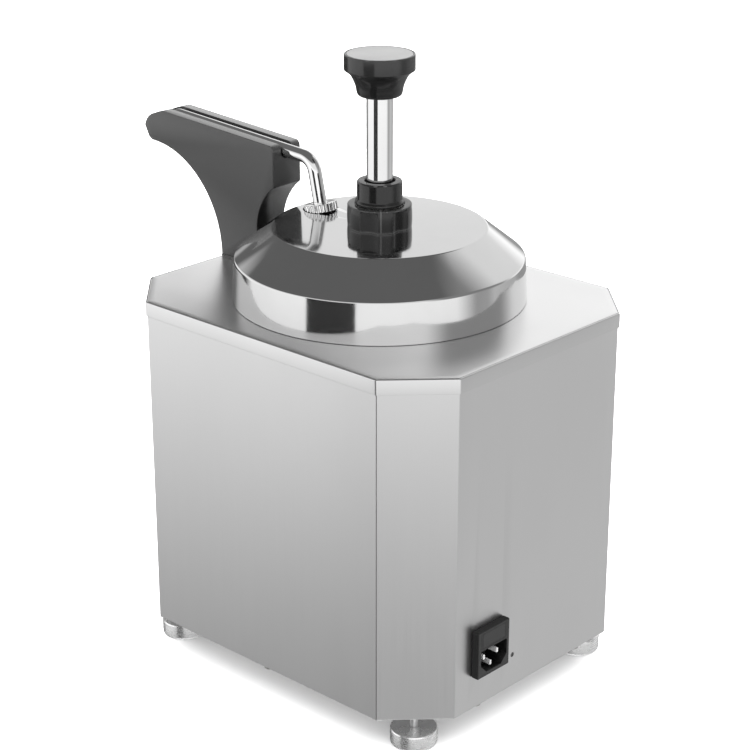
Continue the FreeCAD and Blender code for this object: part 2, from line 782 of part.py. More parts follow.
def fuse_drawer():
    half_w = DRAWER_SIZE[0] / 2.0
    half_h = DRAWER_SIZE[1] / 2.0
    drawer = box((INLET_X - half_w, INLET_X + half_w), (INLET_FACE - DRAWER_DEPTH, INLET_FACE),
                 (DRAWER_Z - half_h, DRAWER_Z + half_h))
    start = INLET_FACE - DRAWER_DEPTH
    for x, z in fuse_places():
        drawer = drawer.cut(along_y(FUSE_R, start - 1.0, start + FUSE_LENGTH, x, z))
    return drawer


def fuses():
    start = INLET_FACE - DRAWER_DEPTH
    return Part.makeCompound([along_y(FUSE_R, start, start + FUSE_LENGTH, x, z)
                              for x, z in fuse_places()])


def wiring_loom():
    """Sleeved leads from the inlet to the switch, and from the switch to the thermostat."""
    rear = INLET_BACK - TAG_LENGTH
    front = -WALL_FACE + SWITCH_DEPTH + SWITCH_TAG_LENGTH
    line_x = INLET_X + PIN_SPACING / 2.0
    right_tag = SWITCH_X + SWITCH_TAG_X
    left_tag = SWITCH_X - SWITCH_TAG_X
    heater_x = KNOB_X + 6.0
    to_switch = tube_along(
        [Vector(line_x, rear, PIN_Z), Vector(line_x, 88.0, PIN_Z),
         Vector(74.0, 56.0, LEAD_RUN_Z), Vector(74.0, -66.0, LEAD_RUN_Z),
         Vector(right_tag, -94.0, CONTROL_Z), Vector(right_tag, front, CONTROL_Z)],
        [20.0, 20.0, 20.0, 14.0], LOOM_R)
    to_thermostat = tube_along(
        [Vector(left_tag, front, CONTROL_Z), Vector(left_tag, -102.0, CONTROL_Z),
         Vector(22.0, -88.0, LEAD_RUN_Z), Vector(-28.0, -88.0, LEAD_RUN_Z),
         Vector(heater_x, -104.0, CONTROL_Z),
         Vector(heater_x, -WALL_FACE + THERMOSTAT_SPAN[1], CONTROL_Z)],
        [8.0, 16.0, 16.0, 10.0], LOOM_R)
    return Part.makeCompound([to_switch, to_thermostat])


# ---------------------------------------------------------------- lid

def lid_solid(inward, bottom):
    """The lid's outside, or its inside when moved in by the sheet's thickness."""
    shoulder_r, shoulder_z = LID_SHOULDER
    top_r, top_z = LID_TOP
    slope = math.atan2(top_z - shoulder_z, shoulder_r - top_r)
    top_in = inward * math.tan(slope / 2.0)
    side_in = inward * math.tan((math.pi / 2.0 - slope) / 2.0)
    shell = turned([
        (0.0, bottom), (LID_RIM_R - inward, bottom),
        (shoulder_r - inward, shoulder_z - side_in),
        (top_r - top_in, top_z - inward), (0.0, top_z - inward),
    ])
    bend = LID_BEND - inward
    edges = ring_edges(shell, shoulder_r - inward, shoulder_z - side_in)
    edges += ring_edges(shell, top_r - top_in, top_z - inward)
    return shell.makeFillet(bend, edges)


def on_tube_axis(shape):
    """Put a shape drawn upright at the origin onto the tube's leaning axis at the lid."""
    placed = shape.copy()
    placed.rotate(Vector(0, 0, 0), Vector(1, 0, 0), TUBE_LEAN)
    placed.translate(Vector(0.0, TUBE_AT_LID[0], TUBE_AT_LID[1]))
    return placed


def tube_seat_pad():
    """A wedge pad under the lid, square to the tube, for the bushing to pull against."""
    pad = on_tube_axis(upright(TUBE_SEAT_R[1], TUBE_PAD, PAST))
    under = box((-FAR, FAR), (-FAR, FAR), (LID_BOTTOM, LID_TOP[1] - LID_SHEET / 2.0))
    return pad.common(under)


def lid():
    shell = lid_solid(0.0, LID_BOTTOM).cut(lid_solid(LID_SHEET, LID_BOTTOM - 1.0))
    shell = fuse([shell, tube_seat_pad()])
    shell = shell.cut(on_tube_axis(upright(TUBE_SEAT_R[0], TUBE_SEAT, PAST)))
    shell = shell.cut(upright(NECK_R + GAP, LID_TOP[1] - PAST, LID_TOP[1] + PAST))
    return shell.cut(on_tube_axis(upright(BUSHING_R + GAP, -FAR / 10.0, FAR / 10.0)))


# ---------------------------------------------------------------- pump

def clamp_top():
    return LID_TOP[1] - 2.0 * LID_SHEET


def pump_cylinder():
    clamp_low = BARREL_TOP + 1.0
    return turned([
        (BARREL_BORE, BARREL_BOTTOM), (BARREL_R, BARREL_BOTTOM), (BARREL_R, clamp_low),
        (CLAMP_R, clamp_low), (CLAMP_R, clamp_top()), (NECK_R, clamp_top()), (NECK_R, NECK_TOP),
        (NECK_BORE, NECK_TOP), (NECK_BORE, BARREL_TOP), (BARREL_BORE, BARREL_TOP),
    ])


def lid_gasket():
    low = clamp_top()
    high = low + LID_SHEET
    return upright(CLAMP_R, low, high).cut(upright(NECK_R, low - PAST, high + PAST))


def rod_guide():
    """The black collar that guides the rod, with a sleeve inside the pump's neck."""
    flare = BARREL_BORE
    return turned([
        (ROD_R + GAP, SLEEVE_BOTTOM), (NECK_BORE, SLEEVE_BOTTOM), (NECK_BORE, NECK_TOP),
        (flare, NECK_TOP), (flare, NECK_TOP + 1.8), (ROD_GUIDE_R, GUIDE_TOP - 0.8),
        (ROD_GUIDE_R - 0.8, GUIDE_TOP), (WIPER_R + 0.4, GUIDE_TOP), (WIPER_R, GUIDE_TOP - 0.5),
        (WIPER_R, GUIDE_TOP - WIPER_DEPTH), (ROD_R + GAP, GUIDE_TOP - WIPER_DEPTH),
    ])


def lock_nut():
    """A clamping nut with six broad lobes and hollow grips between them."""
    low = LID_TOP[1] + SNUG
    high = NECK_TOP - GAP
    bore = NECK_R + GAP
    nut = turned([
        (bore, low), (LOCK_NUT_R - 0.3, low), (LOCK_NUT_R, (low + high) / 2.0),
        (LOCK_NUT_R - 0.4, high - 0.8), (LOCK_NUT_R - 1.2, high), (bore, high),
    ])
    place = LOCK_NUT_R + LOCK_NUT_GROOVE_OUT
    for i in range(LOCK_NUT_LOBES):
        turn = math.radians(LOCK_NUT_FIRST_GROOVE + 360.0 * i / LOCK_NUT_LOBES)
        nut = nut.cut(upright(LOCK_NUT_GROOVE_R, low - PAST, high - LOCK_NUT_GROOVE_TOP,
                              place * math.cos(turn), place * math.sin(turn)))
    return nut


def plunger_knob():
    """A mushroom push knob, solid, bored for the rod."""
    crown = [(KNOB_R, KNOB_TOP - 0.6), (KNOB_R - 0.6, KNOB_TOP), (0.0, KNOB_TOP)]
    bore = [(0.0, ROD_TOP), (ROD_R, ROD_TOP), (ROD_R, KNOB_UNDERSIDE[0][1])]
    return turned(KNOB_UNDERSIDE + crown + bore)


def plunger_rod():
    bottom = PISTON_TOP - PISTON_HEIGHT
    return turned([
        (0.0, bottom), (SPIGOT_R, bottom), (SPIGOT_R, PISTON_TOP), (ROD_R, PISTON_TOP),
        (ROD_R, ROD_TOP), (0.0, ROD_TOP),
    ])


def piston():
    """The piston disc, with a groove for its seal."""
    bottom = PISTON_TOP - PISTON_HEIGHT
    groove_low = SEAL_TOP - SEAL_HEIGHT
    groove_r = PISTON_R - SEAL_DEPTH
    return turned([
        (SPIGOT_R, bottom), (PISTON_R, bottom), (PISTON_R, groove_low), (groove_r, groove_low),
        (groove_r, SEAL_TOP), (PISTON_R, SEAL_TOP), (PISTON_R, PISTON_TOP),
        (SPIGOT_R, PISTON_TOP),
    ])


def piston_seal():
    low = SEAL_TOP - SEAL_HEIGHT
    outer = upright(BARREL_BORE - SEAL_FIT, low, SEAL_TOP)
    return outer.cut(upright(PISTON_R - SEAL_DEPTH, low - PAST, SEAL_TOP + PAST))


def spring_span():
    return RETAINER_Z + RETAINER_THICK, PISTON_TOP - PISTON_HEIGHT


def return_spring():
    low, high = spring_span()
    start = low + SPRING_WIRE_R
    height = high - low - 2.0 * SPRING_WIRE_R
    helix = Part.makeHelix(height / SPRING_TURNS, height, SPRING_R)
    along = Vector(0.0, 2.0 * math.pi * SPRING_R * SPRING_TURNS, height)
    ring = Part.Wire(Part.makeCircle(SPRING_WIRE_R, Vector(SPRING_R, 0, 0), along))
    spring = Part.Wire(helix).makePipeShell([ring], True, True)
    spring.translate(Vector(0, 0, start))
    return spring


# ---------------------------------------------------------------- valve and discharge

def valve_body():
    """The foot of the pump: an inlet hole, a conical ball seat and a side port."""
    cone_top = SEAT_Z + CHAMBER_R - SEAT_R
    body = turned([
        (SEAT_R, VALVE_BOTTOM), (VALVE_R - 3.0, VALVE_BOTTOM), (VALVE_R, VALVE_BOTTOM + 3.0),
        (VALVE_R, VALVE_TOP), (BARREL_R, VALVE_TOP), (BARREL_R, BARREL_BOTTOM - O_RING),
        (BARREL_BORE - 1.0, BARREL_BOTTOM - O_RING), (BARREL_BORE - 1.0, RETAINER_Z),
        (CHAMBER_R, RETAINER_Z), (CHAMBER_R, cone_top), (SEAT_R, SEAT_Z),
    ])
    return body.cut(along_y(PORT_R, -VALVE_R - PAST, 0.0, 0.0, PORT_Z))


def valve_o_ring():
    ring = upright(BARREL_R, BARREL_BOTTOM - O_RING, BARREL_BOTTOM)
    return ring.cut(upright(BARREL_BORE - 1.0, 0.0, FAR))


def ball_retainer():
    """A perforated disc above the intake ball, which the spring also stands on."""
    disc = upright(BARREL_BORE - 1.0, RETAINER_Z, RETAINER_Z + RETAINER_THICK)
    for i in range(RETAINER_HOLES):
        turn = 2.0 * math.pi * i / RETAINER_HOLES
        x = RETAINER_HOLES_AT * math.cos(turn)
        y = RETAINER_HOLES_AT * math.sin(turn)
        disc = disc.cut(upright(RETAINER_HOLE_R, 0.0, FAR, x, y))
    return disc


def seated_ball(radius, seat_r, seat_z, y):
    """A ball held just clear of a 45 degree seat."""
    centre_z = seat_z - seat_r + (radius + GAP) * math.sqrt(2.0)
    return Part.makeSphere(radius, Vector(0.0, y, centre_z))


def groove_rise():
    """Slope of the shroud's top edge and of the tube in its groove."""
    return (NOSE_TOP[1] - SHROUD_REAR_TOP) / (SHROUD_REAR - NOSE_TOP[0])


def groove_z(y):
    """Height of the tube's centre line in the groove at a place along Y."""
    return SHROUD_REAR_TOP - GROOVE_DROP + (SHROUD_REAR - y) * groove_rise()


def tube_route():
    """Centre line: up from the elbow, leaning out of the lid, along the groove, down the nose."""
    lean = math.tan(math.radians(TUBE_LEAN))
    lid_y, lid_z = TUBE_AT_LID
    lean_z = lid_z - (RISER_Y - lid_y) / lean
    rise = groove_rise()
    reach = (groove_z(lid_y) - lid_z) * lean / (1.0 - rise * lean)
    bend_y = lid_y - reach
    return [
        Vector(0.0, RISER_Y, TUBE_START),
        Vector(0.0, RISER_Y, lean_z),
        Vector(0.0, bend_y, groove_z(bend_y)),
        Vector(0.0, TUBE_TIP_Y, groove_z(TUBE_TIP_Y)),
        Vector(0.0, TUBE_TIP_Y, TUBE_OUTLET_Z),
    ]


def discharge_tube():
    bends = [TUBE_LEAN_BEND, TUBE_BEND, TUBE_BEND]
    outer = tube_along(tube_route(), bends, TUBE_R)
    return outer.cut(tube_along(tube_route(), bends, TUBE_R - TUBE_WALL))


def tube_bushing():
    """The threaded bushing that carries the tube through the lid."""
    flange_low, flange_high = BUSHING_FLANGE
    top = TUBE_NUT_LIFT + TUBE_NUT_THREAD - GAP
    return on_tube_axis(turned([
        (TUBE_R, flange_low), (BUSHING_FLANGE_R, flange_low), (BUSHING_FLANGE_R, flange_high),
        (BUSHING_R, flange_high), (BUSHING_R, top), (TUBE_R, top),
    ]))


def tube_nut():
    low = TUBE_NUT_LIFT
    high = low + TUBE_NUT_HEIGHT
    ledge = low + TUBE_NUT_THREAD
    nut = turned([
        (BUSHING_R + GAP, low), (TUBE_NUT_R - 0.6, low), (TUBE_NUT_R, low + 0.6),
        (TUBE_NUT_R, high - 1.0), (TUBE_NUT_R - 1.0, high), (TUBE_R + GAP, high),
        (TUBE_R + GAP, ledge), (BUSHING_R + GAP, ledge),
    ])
    place = TUBE_NUT_R + TUBE_NUT_RIB_OUT
    for i in range(TUBE_NUT_RIBS):
        turn = math.radians(360.0 * i / TUBE_NUT_RIBS)
        nut = nut.cut(upright(TUBE_NUT_RIB_R, low - PAST, high + PAST,
                              place * math.cos(turn), place * math.sin(turn)))
    return on_tube_axis(nut)


def discharge_elbow():
    """The riser block beside the valve, with its own ball seat below the tube."""
    stack = upright(ELBOW_R, ELBOW_BOTTOM, ELBOW_TOP, 0.0, RISER_Y)
    neck = along_y(ELBOW_NECK_R, RISER_Y, 0.0, 0.0, PORT_Z)
    block = fuse([stack, neck]).cut(upright(VALVE_R, 0.0, FAR))
    cone_top = OUT_SEAT_Z + OUT_BORE_R - OUT_SEAT_R
    bore = turned([
        (0.0, PORT_Z), (OUT_SEAT_R, PORT_Z), (OUT_SEAT_R, OUT_SEAT_Z), (OUT_BORE_R, cone_top),
        (OUT_BORE_R, TUBE_START), (TUBE_R, TUBE_START), (TUBE_R, ELBOW_TOP + 1.0),
        (0.0, ELBOW_TOP + 1.0),
    ], 0.0, RISER_Y)
    block = block.cut(bore)
    return block.cut(along_y(OUT_SEAT_R, RISER_Y, 0.0, 0.0, PORT_Z))


# ---------------------------------------------------------------- spout shroud

def side_point(y, z, x=0.0):
    return Vector(x, y, z)


def shroud_outline():
    """The shroud's side view: a slim foot, concave front and back, and a beak over the cup."""
    rear_y, rear_z = REAR_ARC
    rear_r = rear_y - SHROUD_FOOT_REAR
    front_y, front_z, front_r = FRONT_ARC
    kink_z = rear_z + math.sqrt(rear_r ** 2 - (SHROUD_REAR - rear_y) ** 2)
    diagonal = front_r * math.sqrt(0.5)
    turn = (math.pi + math.atan2(kink_z - rear_z, SHROUD_REAR - rear_y)) / 2.0
    corner_y = SHROUD_REAR - TOP_CORNER
    mid_y, mid_z = TOP_CORNER_MID
    toe = side_point(front_y + front_r, SHROUD_BOTTOM)
    front_mid = side_point(front_y + diagonal, front_z + diagonal)
    arch = side_point(front_y, front_z + front_r)
    chin = side_point(*NOSE_CHIN)
    tip = side_point(*NOSE_TIP)
    brow = side_point(*NOSE_BROW)
    top = side_point(*NOSE_TOP)
    corner_front = side_point(corner_y, groove_z(corner_y) + GROOVE_DROP)
    corner_mid = side_point(SHROUD_REAR - mid_y, SHROUD_REAR_TOP - mid_z)
    corner_rear = side_point(SHROUD_REAR, SHROUD_REAR_TOP - TOP_CORNER)
    kink = side_point(SHROUD_REAR, kink_z)
    rear_mid = side_point(rear_y + rear_r * math.cos(turn), rear_z + rear_r * math.sin(turn))
    heel = side_point(SHROUD_FOOT_REAR, rear_z)
    foot_rear = side_point(SHROUD_FOOT_REAR, SHROUD_BOTTOM)
    return Part.Wire([
        Part.Arc(toe, front_mid, arch).toShape(),
        Part.LineSegment(arch, chin).toShape(),
        Part.LineSegment(chin, tip).toShape(),
        Part.Arc(tip, side_point(*NOSE_BULGE), brow).toShape(),
        Part.Arc(brow, side_point(*NOSE_CROWN), top).toShape(),
        Part.LineSegment(top, corner_front).toShape(),
        Part.Arc(corner_front, corner_mid, corner_rear).toShape(),
        Part.LineSegment(corner_rear, kink).toShape(),
        Part.Arc(kink, rear_mid, heel).toShape(),
        Part.LineSegment(heel, foot_rear).toShape(),
        Part.LineSegment(foot_rear, toe).toShape(),
    ])


def slab(wire, half):
    """A flat side-view outline made into a solid that reaches half to each side."""
    solid = Part.Face(wire).extrude(Vector(2.0 * half, 0, 0))
    solid.translate(Vector(-half, 0, 0))
    return solid


def side_polygon(points):
    corners = [side_point(y, z) for y, z in points]
    return Part.makePolygon(corners + [corners[0]])


def shroud_head():
    """The thick top of the shroud that the groove is cut in; the cavity stays below it."""
    rear = SHROUD_REAR + HEAD_START
    return slab(side_polygon([
        (rear, groove_z(rear) - HEAD_DEPTH), (HEAD_FRONT, groove_z(HEAD_FRONT) - HEAD_DEPTH),
        (HEAD_FRONT, HEAD_FRONT_Z), (-FAR, HEAD_FRONT_Z), (-FAR, FAR), (rear, FAR),
    ]), SHROUD_HALF + 1.0)


def tube_channel():
    """The open groove for the tube and the slanted slot that its end lifts out through."""
    rear = SHROUD_REAR + HEAD_START
    front = TUBE_TIP_Y - GROOVE_R
    back = TUBE_TIP_Y + GROOVE_R
    high = groove_z(front)
    slope = math.tan(math.radians(LIFT_TILT))
    slot_back = back + (high - TUBE_OUTLET_Z) * slope
    floor_end = slot_back - 3.0
    above = slab(side_polygon([
        (rear, groove_z(rear)), (front, high), (front, FAR), (rear, FAR),
    ]), GROOVE_R)
    slot = slab(side_polygon([
        (front, HEAD_FRONT_Z), (back, HEAD_FRONT_Z), (back, TUBE_OUTLET_Z), (slot_back, high),
        (slot_back, FAR), (front, FAR),
    ]), GROOVE_R)
    start = side_point(rear, groove_z(rear))
    run = side_point(floor_end, groove_z(floor_end)) - start
    floor = Part.makeCylinder(GROOVE_R, run.Length, start, run)
    return fuse([above, slot, floor])


def shroud_screw_rows():
    return [SHROUD_FOOT_REAR - SHROUD_SCREW_IN, SHROUD_FOOT_FRONT + SHROUD_SCREW_IN]


def shroud_lead_y():
    return (SHROUD_FOOT_REAR + SHROUD_FOOT_FRONT) / 2.0


def spout_shroud():
    outer = slab(shroud_outline(), SHROUD_HALF)
    half = SHROUD_HALF - SHROUD_WALL
    cavity = slab(shroud_outline().makeOffset2D(-SHROUD_WALL), half)
    mouth = box((-half, half), (SHROUD_FOOT_FRONT + SHROUD_WALL, SHROUD_FOOT_REAR - SHROUD_WALL),
                (SHROUD_BOTTOM - PAST, SHROUD_BOTTOM + SHROUD_WALL + 1.0))
    shroud = outer.cut(fuse([cavity, mouth]).cut(shroud_head()))
    webs = [
        box((-half - 0.5, half + 0.5), (y - WEB_HALF, y + WEB_HALF),
            (SHROUD_BOTTOM, SHROUD_BOTTOM + WEB_HEIGHT))
        for y in shroud_screw_rows()
    ]
    shroud = fuse([shroud] + webs).cut(tube_channel())
    for y in shroud_screw_rows():
        shroud = shroud.cut(upright(SHROUD_SCREW_R, SHROUD_BOTTOM - PAST,
                                    SHROUD_BOTTOM + SHROUD_SCREW_REACH + 1.0, 0.0, y))
    return shroud


def shroud_gasket():
    gasket = box((-SHROUD_HALF, SHROUD_HALF), (SHROUD_FOOT_FRONT, SHROUD_FOOT_REAR),
                 (PLATE_TOP, SHROUD_BOTTOM))
    low = PLATE_TOP - PAST
    high = SHROUD_BOTTOM + PAST
    for y in shroud_screw_rows():
        gasket = gasket.cut(upright(SHROUD_SCREW_HOLE_R, low, high, 0.0, y))
    return gasket.cut(upright(LEAD_HOLE_R, low, high, 0.0, shroud_lead_y()))


def shroud_screws():
    screws = []
    under = PLATE_TOP - SHEET
    head_r, head_height = SHROUD_SCREW_HEAD
    for y in shroud_screw_rows():
        head = upright(head_r, under - head_height, under, 0.0, y)
        shank = upright(SHROUD_SCREW_R, under, SHROUD_BOTTOM + SHROUD_SCREW_REACH, 0.0, y)
        screws.append(fuse([head, shank]))
    return Part.makeCompound(screws)


def under_groove(shape):
    """Put a shape drawn along -Y from the origin under the groove, parallel to it."""
    placed = shape.copy()
    placed.rotate(Vector(0, 0, 0), Vector(1, 0, 0), -math.degrees(math.atan(groove_rise())))
    placed.translate(Vector(0.0, BLOCK_START, groove_z(BLOCK_START) - HEAD_DEPTH - SNUG))
    return placed


def heat_block():
    wide, length, deep = BLOCK_SIZE
    bar = box((-wide / 2.0, wide / 2.0), (-length, 0.0), (-deep, 0.0))
    bar = bar.cut(along_y(CARTRIDGE_R, -CARTRIDGE_LENGTH, 1.0, 0.0, -deep / 2.0))
    return under_groove(bar)


def spout_heater():
    return under_groove(along_y(CARTRIDGE_R, -CARTRIDGE_LENGTH, 0.0, 0.0, -BLOCK_SIZE[2] / 2.0))


def heater_lead():
    """Leads from the cartridge's end down through the plate's grommet."""
    y = shroud_lead_y()
    end_z = groove_z(BLOCK_START) - HEAD_DEPTH - BLOCK_SIZE[2] / 2.0
    return tube_along([
        side_point(BLOCK_START + SNUG, end_z), side_point(BLOCK_START + 5.5, end_z),
        side_point(BLOCK_START + 4.7, end_z - 14.0), side_point(y, 312.0),
        side_point(y, PLATE_TOP - 12.0),
    ], [3.0, 6.0, 14.0], LEAD_R)


def lead_grommet():
    under = PLATE_TOP - SHEET
    y = shroud_lead_y()
    ring = upright(GROMMET_R, under - 2.0, under, 0.0, y)
    sleeve = upright(LEAD_HOLE_R, under, SHROUD_BOTTOM, 0.0, y)
    bore = upright(LEAD_R, under - PAST, SHROUD_BOTTOM + PAST, 0.0, y)
    return fuse([ring, sleeve]).cut(bore)


PIECES = {
    "top_plate": top_plate,
    "body_wrap": body_wrap,
    "rear_panel": rear_panel,
    "base_pan": base_pan,
    "pan_screws": pan_screws,
    "foot_nuts": foot_nuts,
    "water_well": water_well,
    "heat_spreader": heat_spreader,
    "heating_element": heating_element,
    "element_clamps": element_clamps,
    "thermostat_body": thermostat_body,
    "thermostat_bulb": thermostat_bulb,
    "thermostat_shaft": thermostat_shaft,
    "thermostat_knob": thermostat_knob,
    "dial_ring": dial_ring,
    "pilot_lamp": pilot_lamp,
    "switch_housing": switch_housing,
    "switch_rocker": switch_rocker,
    "overheat_cutout": overheat_cutout,
    "reset_button": reset_button,
    "inlet_housing": inlet_housing,
    "inlet_pins": inlet_pins,
    "fuse_drawer": fuse_drawer,
    "fuses": fuses,
    "wiring_loom": wiring_loom,
    "spout_shroud": spout_shroud,
    "shroud_gasket": shroud_gasket,
    "shroud_screws": shroud_screws,
    "heat_block": heat_block,
    "spout_heater": spout_heater,
    "heater_lead": heater_lead,
    "lead_grommet": lead_grommet,
    "inset_pot": inset_pot,
    "lid": lid,
    "lid_gasket": lid_gasket,
    "pump_cylinder": pump_cylinder,
    "rod_guide": rod_guide,
    "lock_nut": lock_nut,
    "tube_bushing": tube_bushing,
    "tube_nut": tube_nut,
    "discharge_tube": discharge_tube,
    "discharge_elbow": discharge_elbow,
    "valve_body": valve_body,
    "valve_o_ring": valve_o_ring,
    "ball_retainer": ball_retainer,
    "plunger_knob": plunger_knob,
    "plunger_rod": plunger_rod,
    "piston": piston,
    "piston_seal": piston_seal,
    "return_spring": return_spring,
}

os.makedirs("parts", exist_ok=True)
for node, make in PIECES.items():
    save(node, make())
save("intake_ball", seated_ball(BALL_R, SEAT_R, SEAT_Z, 0.0))
save("discharge_ball", seated_ball(OUT_BALL_R, OUT_SEAT_R, OUT_SEAT_Z, RISER_Y))
for place, (foot_x, foot_y) in foot_places().items():
    save("foot_" + place, foot(foot_x, foot_y))
    save("stud_" + place, stud(foot_x, foot_y))
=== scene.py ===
import json
import math

import bmesh
import bpy
from mathutils import Matrix, Vector


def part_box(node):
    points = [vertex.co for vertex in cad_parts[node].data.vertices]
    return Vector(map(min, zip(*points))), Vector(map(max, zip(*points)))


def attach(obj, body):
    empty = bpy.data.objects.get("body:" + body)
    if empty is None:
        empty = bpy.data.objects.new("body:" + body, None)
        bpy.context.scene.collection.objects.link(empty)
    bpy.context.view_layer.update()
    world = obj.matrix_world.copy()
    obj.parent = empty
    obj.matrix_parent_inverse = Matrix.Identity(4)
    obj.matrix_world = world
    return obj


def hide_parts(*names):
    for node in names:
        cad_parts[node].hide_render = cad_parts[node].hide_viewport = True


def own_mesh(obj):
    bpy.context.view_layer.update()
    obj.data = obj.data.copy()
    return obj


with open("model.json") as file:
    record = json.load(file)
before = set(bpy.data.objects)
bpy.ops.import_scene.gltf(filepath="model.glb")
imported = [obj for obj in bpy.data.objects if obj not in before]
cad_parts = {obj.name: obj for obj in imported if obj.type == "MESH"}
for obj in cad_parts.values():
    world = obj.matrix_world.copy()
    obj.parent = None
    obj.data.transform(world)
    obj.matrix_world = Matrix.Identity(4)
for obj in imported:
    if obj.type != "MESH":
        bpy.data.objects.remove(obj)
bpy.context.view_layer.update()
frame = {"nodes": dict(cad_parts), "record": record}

# A heated cheese dispenser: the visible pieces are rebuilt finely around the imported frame.
# Outlines are in millimetres about the pump's axis, and raw_object() turns them into metres.

MM = 0.001
rod_low, rod_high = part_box("plunger_rod")
AXIS = Vector(((rod_low.x + rod_high.x) / 2.0, (rod_low.y + rod_high.y) / 2.0, 0.0))


def span(node):
    """A CAD node's lowest and highest corner, in millimetres about the pump's axis."""
    low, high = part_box(node)
    return (low - AXIS) / MM, (high - AXIS) / MM


plate_low, plate_high = span("top_plate")
wall_low, wall_high = span("body_wrap")
lid_low, lid_high = span("lid")
nut_low, nut_high = span("lock_nut")
shroud_low, shroud_high = span("spout_shroud")
inlet_low, inlet_high = span("inlet_housing")
switch_low, switch_high = span("switch_housing")

HALF_X, HALF_Y, PLATE_TOP = plate_high
CHAMFER = 38.2
OPENING_R = 94.0             # the round opening in the cap
WALL_INSET = HALF_X - wall_high.x
WALL_LIP = 12.0              # how far the walls turn in underneath
SEAM_GAP = 0.16
PLATE_BEND = 2.2
RESET_AT = (23.2, 51.0)
RESET_R = 1.75
TUBE_LEAN = math.radians(12.5)
TUBE_AT_LID = Vector((0.0, -56.9, lid_high.z))
TUBE_R = 4.9
TUBE_WALL = 0.9
TIP = Vector((-214.0, 347.5))
GROOVE_RISE = 6.4 / 115.8
GROOVE_AT = (-91.2, 362.9)
GROOVE_R = 5.8
ROD_R = 9.2
SPRING_R = 14.3
SPRING_WIRE_R = 1.25
SPRING_TURNS = 9
STUD_R = 2.8


# ---------------------------------------------------------------- outlines

def rounded(points, radii, closed=True, steps=6):
    """A 2D outline with its corners rounded; a radius of 0 keeps a corner sharp."""
    points = [Vector(p) for p in points]
    if not isinstance(radii, (list, tuple)):
        radii = [radii] * len(points)
    out = []
    count = len(points)
    for i, corner in enumerate(points):
        inner = closed or 0 < i < count - 1
        if not inner or radii[i] <= 0.0:
            out.append(corner)
            continue
        to_prev = (points[i - 1] - corner)
        to_next = (points[(i + 1) % count] - corner)
        a, b = to_prev.normalized(), to_next.normalized()
        half = a.angle(b) / 2.0
        if half > math.pi / 2.0 - 0.001:
            out.append(corner)
            continue
        trim = min(radii[i] / math.tan(half), 0.49 * to_prev.length, 0.49 * to_next.length)
        radius = trim * math.tan(half)
        centre = corner + (a + b).normalized() * (radius / math.sin(half))
        start = corner + a * trim - centre
        end = corner + b * trim - centre
        turn = start.angle(end)
        for step in range(steps + 1):
            t = step / steps
            mixed = (start * math.sin((1.0 - t) * turn) + end * math.sin(t * turn)) / math.sin(turn)
            out.append(centre + mixed)
    return out


def curve(points, steps=6):
    """A smooth open curve through the points."""
    points = [Vector(p) for p in points]
    padded = [2.0 * points[0] - points[1]] + points + [2.0 * points[-1] - points[-2]]
    out = []
    for p0, p1, p2, p3 in zip(padded, padded[1:], padded[2:], padded[3:]):
        for step in range(steps):
            t = step / steps
            out.append(0.5 * (2.0 * p1 + (p2 - p0) * t + (2.0 * p0 - 5.0 * p1 + 4.0 * p2 - p3) * t ** 2
                              + (3.0 * p1 - 3.0 * p2 + p3 - p0) * t ** 3))
    return out + [points[-1]]


def arc(centre, radius, start, end, steps):
    """Points on a circle between two angles in degrees, both ends included."""
    out = []
    for i in range(steps + 1):
        turn = math.radians(start + (end - start) * i / steps)
        out.append(Vector((centre[0] + radius * math.cos(turn), centre[1] + radius * math.sin(turn))))
    return out


# ---------------------------------------------------------------- meshes

def grid(rows, close_rows=False, close_columns=False):
    """Vertices and quads of a net of points."""
    verts = [p for row in rows for p in row]
    width = len(rows[0])
    faces = []
    for i in range(len(rows) - (0 if close_rows else 1)):
        for j in range(width - (0 if close_columns else 1)):
            a, b = i * width + j, i * width + (j + 1) % width
            k = (i + 1) % len(rows)
            faces.append((a, b, k * width + (j + 1) % width, k * width + j))
    return verts, faces


def turned(outline, count=160, closed=False, ripple=None):
    """A surface of revolution about Z; ripple(turn, radius, z) may change the radius."""
    rows = []
    for r, z in outline:
        row = []
        for i in range(count):
            turn = 2.0 * math.pi * i / count
            radius = ripple(turn, r, z) if ripple else r
            row.append(Vector((radius * math.cos(turn), radius * math.sin(turn), z)))
        rows.append(row)
    return grid(rows, close_rows=closed, close_columns=True)


def prism(outline, low, high, axis="x"):
    """A closed outline pushed along an axis. The outline is (y, z), (x, z) or (x, y)."""
    place = {
        "x": lambda p, h: Vector((h, p[0], p[1])),
        "y": lambda p, h: Vector((p[0], h, p[1])),
        "z": lambda p, h: Vector((p[0], p[1], h)),
    }[axis]
    count = len(outline)
    verts = [place(p, low) for p in outline] + [place(p, high) for p in outline]
    faces = [(i, (i + 1) % count, count + (i + 1) % count, count + i) for i in range(count)]
    faces.append(tuple(reversed(range(count))))
    faces.append(tuple(range(count, 2 * count)))
    return verts, faces


def block(x, y, z):
    """Vertices and faces of a box, for cutting or for bevelling."""
    return prism([(x[0], z[0]), (x[1], z[0]), (x[1], z[1]), (x[0], z[1])], y[0], y[1], "y")


def centred(x, z, half_x, half_z, y):
    """A box about a point of the front or rear wall, between two depths."""
    return block((x - half_x, x + half_x), y, (z - half_z, z + half_z))


def plug(radius, low, high, count):
    """A round plug, for cutting or joining."""
    return turned([(0.0, low), (radius, low), (radius, high), (0.0, high)], count, True)


def capped(rows):
    """A closed tube of rings with both ends filled."""
    verts, faces = grid(rows, close_columns=True)
    count = len(rows[0])
    faces.append(tuple(reversed(range(count))))
    faces.append(tuple(range(len(verts) - count, len(verts))))
    return verts, faces


